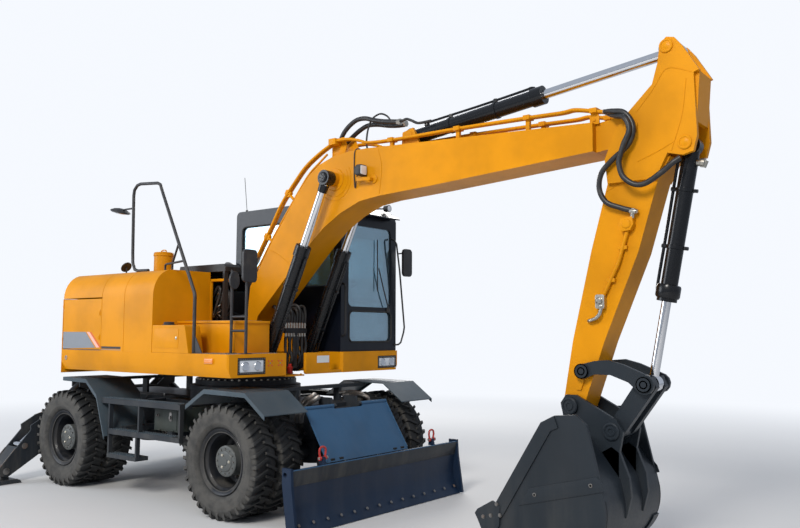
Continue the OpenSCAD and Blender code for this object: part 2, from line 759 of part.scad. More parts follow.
module boom() {
    tip = [[4280, 3345], [4600, 3385], [4640, 3280], [4600, 3155], [4280, 3115]];
    tip_w = 230;
    color(orange) place() translate([0, boom_y, 0]) difference() {
        union() {
            slab_y(boom_outline, -half(boom_w), half(boom_w));
            bar_y(boom_foot, 105, -half(boom_w), half(boom_w));
            slab_y(tip, -half(tip_w), half(tip_w));
            bar_y(arm_pivot, 118, -half(tip_w), half(tip_w));
            bar_y(boom_ram_head, 70, -boom_ram_y + 58, boom_ram_y - 58);
            for (s = SIDES) to_side(s) slab_y([[2340, 3430], [2350, 3570], [2470, 3600], [2560, 3420]], 76, 106);
            bar_y(arm_ram_foot, 40, -112, 112);
        }
        bar_y(boom_foot, 45 + slack, -400, 400);
        bar_y(arm_pivot, 42 + slack, -400, 400);
    }
}

module boom_barrels() {
    color(black) place() for (s = SIDES) difference() {
        barrel(boom_ram_foot, boom_ram_head, boom_barrel_r, 1290, 78, 96, boom_y + s * boom_ram_y, 40);
        rod_bore(boom_ram_foot, boom_ram_head, 41, 120, 1291, boom_y + s * boom_ram_y);
    }
}

module boom_rods() {
    color(rod_chrome) place() for (s = SIDES)
        rod(boom_ram_foot, boom_ram_head, 40, 1180, 72, 100, boom_y + s * boom_ram_y);
}

module arm_barrel() {
    color(black) place() difference() {
        barrel(arm_ram_foot, arm_ram_head, arm_barrel_r, 1370, 74, 140, boom_y, 40);
        rod_bore(arm_ram_foot, arm_ram_head, 41, 120, 1371, boom_y);
    }
}

module arm_rod() {
    color(rod_chrome) place() rod(arm_ram_foot, arm_ram_head, 40, 1395, 76, 236, boom_y);
}

// Arm: the box below the pivot and the head's two cheeks, as [x, z]

module arm() {
    body = [[4425, 2995], [4880, 3010], [4787, 2857], [4620, 2313], [4337, 1639], [4150, 1110], [3994, 1190],
            [4074, 1638], [4241, 2338]];
    cheek = [[4380, 3040], [4470, 3260], [4584, 3390], [4766, 3565], [4810, 3715], [4830, 3850], [4880, 3905],
             [4940, 3890], [4996, 3817], [5117, 3611], [5076, 3599], [5090, 3130], [5060, 3020], [4980, 3000],
             [4870, 3030], [4780, 2850], [4400, 2850]];
    y1 = half(arm_w);
    color(orange) place() translate([0, boom_y, 0]) difference() {
        union() {
            slab_y(body, -y1, y1);
            for (s = SIDES) to_side(s) slab_y(cheek, y1 - 5, y1 + 35);
            bar_y(bucket_pin, 85, -y1, y1);
            bar_y(link_foot, 35, -y1 - 62, y1 + 62);
            bar_y(bucket_ram_foot, 38, -y1 - 40, y1 + 40);
            slab_y([[5030, 3600], [5110, 3610], [5080, 3240], [5045, 3240]], -y1, y1);
        }
        bar_y(bucket_pin, 35 + slack, -400, 400);
        bar_y(arm_pivot, 130, -half(230) - gap, half(230) + gap);
    }
    color(orange) place() translate([0, boom_y, 0]) bar_y(arm_pivot, 42, -y1 - 45, y1 + 45);
}

// Bucket linkage

module bucket_link() {
    plate = concat(arc(link_foot, 60, 60, 75, 285, 7), [[4270, 1388], [4400, 1388], [4540, 1338]],
                   arc(link_head, 75, 75, -110, 60, 6), [[4500, 1470], [4380, 1500], [4270, 1490]]);
    y0 = half(arm_w) + 15;
    color(dark_grey) place() translate([0, boom_y, 0]) difference() {
        for (s = SIDES) to_side(s) slab_y(plate, y0, y0 + 35);
        bar_y(link_foot, 35 + slack, -400, 400);
        bar_y(link_head, 38 + slack, -400, 400);
    }
}

module bucket_push_link() {
    plate = [link_head + [-70, 30], link_head + [40, 60], link_head + [75, -20], push_foot + [75, -20],
             push_foot + [0, -75], push_foot + [-75, 0]];
    color(dark_grey) place() translate([0, boom_y, 0]) {
        for (s = SIDES) to_side(s) {
            slab_y(plate, 60, 125);
            bar_y(link_head, 38, 60, 185);
        }
        bar_y(push_foot, 60, -135, 135);
    }
}

module bucket_barrel() {
    color(black) place() difference() {
        barrel(bucket_ram_foot, link_head, bucket_barrel_r, 1170, 70, 90, boom_y, 38);
        rod_bore(bucket_ram_foot, link_head, 36, 110, 1171, boom_y);
    }
}

module bucket_rod() {
    color(rod_chrome) place() rod(bucket_ram_foot, link_head, 35, 1180, 66, 96, boom_y);
}

// Bucket: outlines as [x, z]

bucket_heel = [4100, 420];
bucket_heel_r = 405;

module bucket() {
    wrap_out = concat([[4020, 960], [4230, 930], [4470, 620]],
                      arc(bucket_heel, bucket_heel_r, bucket_heel_r, 14, -94, 16), [[3500, 90]]);
    wrap_in = concat([[3500, 125]], arc(bucket_heel, bucket_heel_r - 25, bucket_heel_r - 25, -94, 14, 16),
                     [[4446, 610], [4216, 905], [4020, 934]]);
    side = concat([[3500, 90], [3560, 330], [4000, 1040], [4110, 1095], [4280, 1110], [4365, 1040]],
                  arc(bucket_heel, bucket_heel_r, bucket_heel_r, 14, -94, 16));
    ear = [bucket_pin + [-85, 20], bucket_pin + [-40, 85], bucket_pin + [50, 85], push_foot + [40, 85],
           push_foot + [90, 0], push_foot + [60, -150], [4460, 610], [4222, 915], [4030, 945]];
    tooth = [[3540, 80], [3540, 150], [3310, 40], [3310, 20]];
    y1 = half(bucket_w);
    ear_y = half(arm_w) + 15;
    color(dark_grey) place() translate([0, boom_y, 0]) difference() {
        union() {
            slab_y(concat(wrap_out, wrap_in), -y1 + 5, y1 - 5);
            for (s = SIDES) to_side(s) {
                slab_y(side, y1 - 30, y1);
                slab_y(ear, ear_y, ear_y + 35);
            }
            for (i = [0:4]) translate([0, -y1 + 45 + i * (bucket_w - 180) / 4, 0]) slab_y(tooth, 0, 90);
            bar_y(bucket_pin, 35, -ear_y - 50, ear_y + 50);
        }
    }
}

chassis_frame();
slew_ring();
fenders();
side_steps();
toolboxes();
front_axle();
rear_axle();
driveline();
knuckle_left();
knuckle_right();
steering_rod();
tyres_front_left();
tyres_front_right();
tyres_rear_left();
tyres_rear_right();
rims_front_left();
rims_front_right();
rims_rear_left();
rims_rear_right();
blade_arms();
dozer_blade();
blade_cover();
blade_barrels();
blade_rods();
stabiliser_leg_left();
stabiliser_leg_right();
stabiliser_foot_left();
stabiliser_foot_right();
stabiliser_barrel_left();
stabiliser_barrel_right();
stabiliser_rod_left();
stabiliser_rod_right();
upper_frame();
counterweight();
engine_hood();
engine_lid();
side_door_right();
side_door_left();
engine_block();
fuel_tank();
centre_cover();
valve_block();
handrails();
cab_shell();
cab_door();
cab_glass();
door_glass();
cab_interior();
boom();
boom_barrels();
boom_rods();
arm_barrel();
arm_rod();
arm();
bucket_link();
bucket_push_link();
bucket_barrel();
bucket_rod();
bucket();
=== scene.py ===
"""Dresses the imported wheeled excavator, lights it and sets the camera."""
from __future__ import annotations

import json
import logging
import math
from dataclasses import dataclass
from enum import Enum
from typing import Sequence

import bmesh
import bpy
from mathutils import Matrix, Vector

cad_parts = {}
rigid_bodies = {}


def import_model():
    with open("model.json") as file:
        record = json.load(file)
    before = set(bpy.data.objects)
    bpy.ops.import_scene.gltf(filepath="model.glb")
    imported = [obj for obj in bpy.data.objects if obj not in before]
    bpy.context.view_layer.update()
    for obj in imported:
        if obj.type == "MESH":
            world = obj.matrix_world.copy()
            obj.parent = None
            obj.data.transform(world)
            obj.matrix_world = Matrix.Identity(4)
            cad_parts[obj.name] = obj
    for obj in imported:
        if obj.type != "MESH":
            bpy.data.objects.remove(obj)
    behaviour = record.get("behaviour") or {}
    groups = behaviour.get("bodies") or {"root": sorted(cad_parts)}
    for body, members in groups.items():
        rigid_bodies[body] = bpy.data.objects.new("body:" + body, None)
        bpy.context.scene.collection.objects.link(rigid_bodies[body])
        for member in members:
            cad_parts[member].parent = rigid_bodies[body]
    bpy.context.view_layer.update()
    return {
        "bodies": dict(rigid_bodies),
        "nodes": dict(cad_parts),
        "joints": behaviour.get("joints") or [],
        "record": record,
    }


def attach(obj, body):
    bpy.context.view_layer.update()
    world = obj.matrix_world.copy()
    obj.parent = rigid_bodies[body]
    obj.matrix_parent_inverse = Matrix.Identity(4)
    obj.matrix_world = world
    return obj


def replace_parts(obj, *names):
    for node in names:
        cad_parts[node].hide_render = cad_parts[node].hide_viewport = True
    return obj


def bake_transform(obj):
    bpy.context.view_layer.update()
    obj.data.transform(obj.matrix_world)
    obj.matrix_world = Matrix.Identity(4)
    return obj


LOG = logging.getLogger("excavator")
SLEW_X = -1.320
BOOM_Y = -100.0
LEFT, RIGHT = 1, -1
SIDES = (LEFT, RIGHT)
SIDE_WORDS = ((LEFT, "left"), (RIGHT, "right"))

# Sizes that several pieces share, in millimetres from the slewing axis: pins as x and z, lamps as y, y, z, z
HALF_W = 1245.0
TAIL_R = 2100.0
DECK_TOP = 1495.0
DECK_FRONT = 1160.0
HEADLAMPS = ((-1128, -780, 1303, 1461), (886, 1218, 1303, 1441))
BOOM_FOOT = (370.0, 1690.0)
BOOM_TIP = (4600.0, 3270.0)
BOOM_RAM = ((720.0, 1380.0), (1565.0, 3200.0))
ARM_RAM = ((2420.0, 3535.0), (4880.0, 3835.0))
BUCKET_RAM = ((5000.0, 3090.0), (4660.0, 1326.0))
BUCKET_PIN = (4070.0, 1140.0)
RAM_Y = 300.0
ROOF_LAMPS_Y = (430, 1120)
TEETH_Y = tuple(BOOM_Y + 230 * i for i in range(-2, 3))
WHEEL_R = 522.0
FRONT_AXLE = 1050.0
REAR_AXLE = -1640.0
SMOOTH = 35.0

Colour = tuple[float, float, float]
Spot = Sequence[float]
Outline = Sequence[tuple[float, float]]


def to_frame(point: Spot) -> Vector:
    """Turns millimetres from the slewing axis into metres in the model's frame."""
    return Vector((point[0] / 1000 + SLEW_X, point[1] / 1000, point[2] / 1000))


# Nodes


def add_node(tree: bpy.types.NodeTree, kind: str, settings: dict | None = None,
             inputs: dict | None = None) -> bpy.types.Node:
    """Adds a node to a tree.

    Args:
        tree: the tree.
        kind: the node's type.
        settings: attributes that are set first.
        inputs: values or outputs by socket name or place.

    Returns:
        The node.
    """
    node = tree.nodes.new(kind)
    for key, value in (settings or {}).items():
        setattr(node, key, value)
    for key, value in (inputs or {}).items():
        if isinstance(value, bpy.types.NodeSocket):
            tree.links.new(value, node.inputs[key])
        else:
            node.inputs[key].default_value = value
    return node


class Signal:
    """A shader socket that takes part in Python expressions."""

    def __init__(self, graph: "Graph", socket: bpy.types.NodeSocket) -> None:
        """Keeps the socket and the tree it belongs to."""
        self.graph = graph
        self.socket = socket

    def _math(self, operation: str, *terms: "Signal | float") -> "Signal":
        """Adds one Math node.

        Args:
            operation: the Math node's operation.
            terms: its inputs in order.

        Returns:
            The node's value.
        """
        return self.graph.add("ShaderNodeMath", {"operation": operation}, dict(enumerate(terms)))

    def __add__(self, other: "Signal | float") -> "Signal":
        """Adds two values."""
        return self._math("ADD", self, other)

    __radd__ = __add__

    def __mul__(self, other: "Signal | float") -> "Signal":
        """Multiplies two values."""
        return self._math("MULTIPLY", self, other)

    __rmul__ = __mul__

    def __rsub__(self, other: float) -> "Signal":
        """Subtracts this value from a number."""
        return self._math("SUBTRACT", other, self)

    def wave(self) -> "Signal":
        """The value's sine."""
        return self._math("SINE", self)

    def size(self) -> "Signal":
        """Drops the value's sign."""
        return self._math("ABSOLUTE", self)

    def fade(self, low: float, high: float) -> "Signal":
        """Rises smoothly from 0 at low to 1 at high.

        Args:
            low: the value that gives 0.
            high: the value that gives 1.

        Returns:
            The smoothed value.
        """
        settings = {"interpolation_type": "SMOOTHSTEP"}
        return self.graph.add("ShaderNodeMapRange", settings, {"Value": self, "From Min": low, "From Max": high})


class Graph:
    """The node tree of one material."""

    def __init__(self, name: str) -> None:
        """Makes a material with an empty Principled shader."""
        self.material = bpy.data.materials.new(name)
        self.material.use_nodes = True
        self.tree = self.material.node_tree
        self.tree.nodes.clear()
        self.output = self.tree.nodes.new("ShaderNodeOutputMaterial")
        self.place = self.add("ShaderNodeTexCoord", {}, {}, "Object")

    def add(self, kind: str, settings: dict, inputs: dict, out: str | int = 0) -> Signal:
        """Adds a node.

        Args:
            kind: the node's type.
            settings: attributes that are set first.
            inputs: numbers, colours or signals by socket name or place.
            out: the output that is returned.

        Returns:
            One output of the new node.
        """
        given = {key: value.socket if isinstance(value, Signal) else value for key, value in inputs.items()}
        return Signal(self, add_node(self.tree, kind, settings, given).outputs[out])

    def noise(self, scale: float, detail: float = 3.0, rough: float = 0.55, stretch: Spot | None = None) -> Signal:
        """A cloud pattern on Object coordinates.

        Args:
            scale: how many clouds fit in a metre.
            detail: its finer octaves.
            rough: how strong those are.
            stretch: how much finer the pattern is along each axis.

        Returns:
            A value about 0.5.
        """
        place = self.place
        if stretch:
            place = self.add("ShaderNodeMapping", {}, {"Vector": place, "Scale": tuple(stretch)})
        inputs = {"Vector": place, "Scale": scale, "Detail": detail, "Roughness": rough}
        return self.add("ShaderNodeTexNoise", {}, inputs)

    def axis(self, name: str, source: Signal | None = None) -> Signal:
        """One coordinate, X, Y or Z, of a vector, or of the place on the object."""
        return self.add("ShaderNodeSeparateXYZ", {}, {"Vector": source or self.place}, name)

    def normal(self) -> Signal:
        """The surface's direction on the object."""
        return self.add("ShaderNodeTexCoord", {}, {}, "Normal")

    def mix(self, factor: Signal | float, first: "Signal | Colour", second: "Signal | Colour") -> Signal:
        """Mixes two colours.

        Args:
            factor: 0 gives the first colour and 1 the second.
            first: a colour.
            second: a colour.

        Returns:
            The mixed colour.
        """
        def full(value: "Signal | Colour") -> "Signal | tuple":
            """A colour with its alpha, or the signal as it is."""
            return value if isinstance(value, Signal) else (*value, 1.0)

        inputs = {0: factor, 6: full(first), 7: full(second)}
        return self.add("ShaderNodeMix", {"data_type": "RGBA", "clamp_factor": True}, inputs, 2)

    def bump(self, height: Signal, depth: float, strength: float = 1.0) -> Signal:
        """A bump of the given depth in metres."""
        return self.add("ShaderNodeBump", {}, {"Height": height, "Distance": depth, "Strength": strength})

    def finish(self, **inputs: object) -> bpy.types.Material:
        """Ends the tree in a Principled shader.

        Args:
            inputs: socket names, with _ for a space, and their values.

        Returns:
            The material.
        """
        named = {key.replace("_", " "): value for key, value in inputs.items()}
        shader = self.add("ShaderNodeBsdfPrincipled", {}, named)
        self.tree.links.new(shader.socket, self.output.inputs["Surface"])
        return self.material


# Finishes


@dataclass(frozen=True)
class Enamel:
    """Sprayed paint that dulls, gathers dust low down and chips a little."""

    name: str
    colour: Colour
    roughness: float = 0.34
    coat: float = 0.35
    dust: Colour = (0.30, 0.27, 0.22)
    dust_amount: float = 0.25
    dust_top: float = 1.6
    chips: float = 0.0
    gloss: float = 0.22

    def make(self) -> bpy.types.Material:
        """Builds the material."""
        graph = Graph(self.name)
        cloud = graph.noise(1.7, 4)
        fine = graph.noise(38, 4, 0.65)
        streak = graph.noise(6, 4, 0.6, (1.0, 1.0, 0.12))
        height = graph.axis("Z")
        up = graph.axis("Z", graph.normal())
        deep = tuple(0.80 * c for c in self.colour)
        colour = graph.mix(cloud.fade(0.35, 0.7), self.colour, deep)
        low = 1.0 - height.fade(0.15, self.dust_top)
        film = (low * 0.8 + 0.12) * streak.fade(0.38, 0.72) + up.fade(0.6, 1.0) * fine.fade(0.35, 0.7) * 0.4
        dust = film * self.dust_amount
        colour = graph.mix(dust, colour, self.dust)
        if self.chips:
            edge = graph.noise(13, 6, 0.75).fade(0.70, 0.74) * (low * 0.7 + 0.3) * self.chips
            colour = graph.mix(edge, colour, (0.20, 0.13, 0.09))
        rough = self.roughness + dust * 0.45 + fine.fade(0.3, 0.8) * 0.08
        bump = graph.bump(fine, 0.0004, 0.35)
        return graph.finish(Base_Color=colour, Roughness=rough, Coat_Weight=self.coat, Coat_Roughness=0.12,
                            Normal=bump, Specular_IOR_Level=self.gloss)


@dataclass(frozen=True)
class Bare:
    """Bare or plated metal with smudges and, where asked, rust."""

    name: str
    colour: Colour
    roughness: float = 0.25
    rust: float = 0.0
    grain: float = 0.0003

    def make(self) -> bpy.types.Material:
        """Builds the material."""
        graph = Graph(self.name)
        fine = graph.noise(60, 5, 0.6)
        wide = graph.noise(7, 5, 0.65)
        spots = wide.fade(0.52, 0.66) * self.rust
        colour = graph.mix(spots, self.colour, (0.16, 0.07, 0.03))
        rough = self.roughness + spots * 0.5 + fine.fade(0.4, 0.8) * 0.10
        return graph.finish(Base_Color=colour, Metallic=1.0 - spots * 0.8, Roughness=rough,
                            Normal=graph.bump(fine, self.grain, 0.4))


@dataclass(frozen=True)
class Tyre:
    """Tyre rubber: dark on the lugs and khaki with dust on the side walls."""

    name: str = "dusty_tyre"
    rubber: Colour = (0.013, 0.014, 0.015)
    dust: Colour = (0.085, 0.081, 0.074)

    def make(self) -> bpy.types.Material:
        """Builds the material."""
        graph = Graph(self.name)
        side = graph.axis("Y", graph.normal()).size().fade(0.45, 0.9)
        cloud = graph.noise(9, 5, 0.6)
        fine = graph.noise(70, 4, 0.6)
        dust = side * (cloud.fade(0.30, 0.62) * 0.55 + 0.28) + fine.fade(0.52, 0.7) * 0.10
        colour = graph.mix(dust, self.rubber, self.dust)
        return graph.finish(Base_Color=colour, Roughness=0.78 + dust * 0.15,
                            Normal=graph.bump(fine, 0.0012, 0.5))


@dataclass(frozen=True)
class Plastic:
    """Rubber, vinyl or moulded plastic with a fine grain."""

    name: str
    colour: Colour
    roughness: float = 0.5
    grain: float = 260.0
    depth: float = 0.0004
    dust: float = 0.12

    def make(self) -> bpy.types.Material:
        """Builds the material."""
        graph = Graph(self.name)
        fine = graph.noise(self.grain, 3)
        cloud = graph.noise(11, 4, 0.6)
        colour = graph.mix(cloud.fade(0.45, 0.75) * self.dust, self.colour, (0.22, 0.20, 0.17))
        return graph.finish(Base_Color=colour, Roughness=self.roughness + cloud.fade(0.4, 0.8) * 0.12,
                            Normal=graph.bump(fine, self.depth, 0.5))


@dataclass(frozen=True)
class Glass:
    """Thin window glass with a light tint."""

    name: str = "window_glass"
    tint: Colour = (0.50, 0.62, 0.64)

    def make(self) -> bpy.types.Material:
        """Builds the material."""
        graph = Graph(self.name)
        clear = graph.add("ShaderNodeBsdfTransparent", {}, {"Color": (*self.tint, 1.0)})
        sheen = graph.add("ShaderNodeBsdfPrincipled", {},
                          {"Base Color": (0.60, 0.80, 0.92, 1.0), "Roughness": 0.03, "Metallic": 0.9})
        facing = graph.add("ShaderNodeLayerWeight", {}, {"Blend": 0.22}, "Fresnel")
        film = graph.noise(5, 3).fade(0.3, 0.9) * 0.05
        mixed = graph.add("ShaderNodeMixShader", {}, {0: facing * 0.85 + film + 0.42, 1: clear, 2: sheen})
        graph.tree.links.new(mixed.socket, graph.output.inputs["Surface"])
        return graph.material


@dataclass(frozen=True)
class Lens:
    """Clear or coloured lamp plastic."""

    name: str
    colour: Colour
    rough: float = 0.12
    ribs: float = 420.0

    def make(self) -> bpy.types.Material:
        """Builds the material."""
        graph = Graph(self.name)
        x, z = graph.axis("X"), graph.axis("Z")
        ribs = (x * self.ribs).wave() * 0.5 + (z * self.ribs).wave() * 0.5
        return graph.finish(Base_Color=graph.mix(ribs.fade(0.0, 1.0) * 0.35, self.colour, (0.9, 0.9, 0.9)),
                            Roughness=self.rough, Coat_Weight=0.6, Normal=graph.bump(ribs, 0.0006, 0.5))


class Stock:
    """All finishes of the machine, made when first asked for."""

    finishes = (
        Enamel("orange_enamel", (0.69, 0.270, 0.002), 0.40, 0.03, dust_amount=0.04, dust_top=2.4, gloss=0.12),
        Enamel("boom_enamel", (0.69, 0.270, 0.002), 0.40, 0.03, dust_amount=0.03, gloss=0.12),
        Enamel("carrier_enamel", (0.022, 0.027, 0.034), 0.42, 0.08, dust_amount=0.16, dust_top=1.3, chips=0.2),
        Enamel("blade_enamel", (0.006, 0.019, 0.048), 0.40, 0.10, dust_amount=0.03, dust_top=1.0),
        Enamel("fender_enamel", (0.060, 0.084, 0.104), 0.36, 0.10, dust_amount=0.12, dust_top=1.5),
        Enamel("cover_enamel", (0.032, 0.096, 0.190), 0.36, 0.10, dust_amount=0.06, dust_top=1.2),
        Enamel("box_enamel", (0.040, 0.050, 0.045), 0.45, 0.08, dust_amount=0.16, dust_top=1.2),
        Enamel("rim_enamel", (0.012, 0.014, 0.019), 0.42, 0.10, dust_amount=0.22, dust_top=1.0),
        Enamel("hub_enamel", (0.085, 0.092, 0.092), 0.45, 0.15, dust_amount=0.35, dust_top=0.9),
        Enamel("cylinder_enamel", (0.006, 0.007, 0.009), 0.24, 0.3, dust_amount=0.04),
        Enamel("cab_enamel", (0.004, 0.006, 0.012), 0.30, 0.2, dust_amount=0.03, dust_top=2.4),
        Enamel("tool_enamel", (0.018, 0.024, 0.031), 0.38, 0.08, dust_amount=0.07, dust_top=0.9, chips=0.15),
        Enamel("engine_enamel", (0.05, 0.055, 0.06), 0.5, 0.1, dust_amount=0.3),
        Enamel("valve_enamel", (0.02, 0.02, 0.022), 0.45, 0.1),
        Enamel("red_enamel", (0.45, 0.02, 0.015), 0.4, 0.3),
        Enamel("pale_panel", (0.22, 0.22, 0.22), 0.4, 0.2, dust_amount=0.15),
        Bare("chrome_rod", (0.75, 0.76, 0.78), 0.10),
        Bare("plated_steel", (0.45, 0.43, 0.38), 0.32, 0.10),
        Bare("worn_steel", (0.22, 0.21, 0.20), 0.42, 0.55, 0.0008),
        Bare("mirror_glass", (0.85, 0.87, 0.90), 0.03),
        Tyre(),
        Glass(),
        Plastic("hose_rubber", (0.014, 0.014, 0.015), 0.42, 300.0),
        Plastic("seal_rubber", (0.012, 0.012, 0.012), 0.6, 300.0),
        Plastic("black_plastic", (0.018, 0.018, 0.020), 0.48),
        Plastic("grey_plastic", (0.10, 0.105, 0.11), 0.5),
        Plastic("strip_grey", (0.20, 0.22, 0.25), 0.4, 200.0, 0.0001, 0.05),
        Plastic("strip_pale", (0.85, 0.42, 0.36), 0.4, 200.0, 0.0001, 0.05),
        Plastic("strip_red", (0.62, 0.045, 0.02), 0.35, 200.0, 0.0001, 0.05),
        Plastic("white_plate", (0.70, 0.72, 0.72), 0.35, 200.0, 0.0001, 0.05),
        Plastic("seat_cloth", (0.035, 0.037, 0.042), 0.85, 900.0, 0.0008),
        Lens("clear_lens", (0.70, 0.74, 0.78)),
        Lens("amber_lens", (0.75, 0.22, 0.01)),
        Lens("red_lens", (0.45, 0.012, 0.01)),
    )

    def __init__(self) -> None:
        """Starts with nothing made."""
        self.made: dict[str, bpy.types.Material] = {}

    def __getitem__(self, name: str) -> bpy.types.Material:
        """The material of that name."""
        if name not in self.made:
            self.made[name] = next(f for f in self.finishes if f.name == name).make()
        return self.made[name]


STOCK = Stock()


# Meshes


class Plane(Enum):
    """The plane that an outline is drawn in, and the axis that it is drawn out along."""

    XZ = 1
    YZ = 0
    XY = 2

    def spot(self, point: tuple[float, float], depth: float) -> Vector:
        """The place of an outline's point at a depth along the axis."""
        values = list(point)
        values.insert(self.value, depth)
        return Vector(values)


def frame_along(direction: Vector) -> Matrix:
    """A turn that takes Z to a direction."""
    return direction.to_track_quat("Z", "Y").to_matrix()


def arc(centre: tuple[float, float], radius: float, start: float, end: float, steps: int,
        flat: float = 1.0) -> list[tuple[float, float]]:
    """Points along an arc.

    Args:
        centre: its centre.
        radius: its radius.
        start: angle of the first point in degrees.
        end: angle of the last point.
        steps: points after the first.
        flat: height of an ellipse for its width.

    Returns:
        The points.
    """
    angles = [math.radians(start + (end - start) * i / steps) for i in range(steps + 1)]
    return [(centre[0] + radius * math.cos(a), centre[1] + flat * radius * math.sin(a)) for a in angles]


def rounded(low: tuple[float, float], high: tuple[float, float], radius: float,
            steps: int = 5) -> list[tuple[float, float]]:
    """A rectangle with round corners.

    Args:
        low: its lower corner.
        high: its upper corner.
        radius: the corners' radius.
        steps: points round each corner.

    Returns:
        Its points.
    """
    (x0, y0), (x1, y1) = low, high
    corners = ((x1 - radius, y1 - radius, 0), (x0 + radius, y1 - radius, 90),
               (x0 + radius, y0 + radius, 180), (x1 - radius, y0 + radius, 270))
    return [point for x, y, start in corners for point in arc((x, y), radius, start, start + 90, steps)]


def capped(radius: float, low: float, edge: float, flat: float, top: float) -> Outline:
    """A round cap's profile, as pairs of radius and height.

    Args:
        radius: its radius.
        low: height of its foot.
        edge: height at which its chamfer starts.
        flat: radius of its flat top.
        top: height of that.

    Returns:
        The profile.
    """
    return ((radius, low), (radius, edge), (flat, top), (0.1, top))


def both_sides(half: Outline) -> list[tuple[float, float]]:
    """A profile of radius and height, followed by its mirror image at the other height."""
    return [*half, *((radius, -height) for radius, height in reversed(half))]


def curve_through(points: Sequence[Spot], steps: int = 6) -> list[Vector]:
    """Points along a smooth curve through all the given ones.

    Args:
        points: places that it passes.
        steps: points from one to the next.

    Returns:
        The curve's points.
    """
    knots = [Vector(p) for p in points]
    ends = [2 * knots[0] - knots[1], *knots, 2 * knots[-1] - knots[-2]]
    path = []
    for a, b, c, d in zip(ends, ends[1:], ends[2:], ends[3:]):
        for i in range(steps):
            t = i / steps
            path.append(0.5 * (2 * b + (c - a) * t + (2 * a - 5 * b + 4 * c - d) * t ** 2
                               + (3 * b - a - 3 * c + d) * t ** 3))
    path.append(knots[-1])
    return path


def soften(bm: bmesh.types.BMesh, width: float, sharpest: float, segments: int = 2) -> None:
    """Rounds a mesh's sharp edges.

    Args:
        bm: the mesh.
        width: the rounding's width, in the mesh's unit.
        sharpest: angle in degrees above which an edge is sharp.
        segments: steps across a rounded edge.
    """
    sharp = [e for e in bm.edges if len(e.link_faces) == 2 and e.calc_face_angle(0.0) > math.radians(sharpest)]
    bmesh.ops.bevel(bm, geom=sharp, offset=width, segments=segments, profile=0.6, affect="EDGES",
                    clamp_overlap=True)


def shaded(bm: bmesh.types.BMesh, name: str, smooth: float) -> bpy.types.Mesh:
    """Ends a mesh, shaded round up to an angle in degrees, and frees what it was built in."""
    mesh = bpy.data.meshes.new(name)
    bm.to_mesh(mesh)
    bm.free()
    mesh.shade_smooth()
    mesh.set_sharp_from_angle(angle=math.radians(smooth))
    return mesh


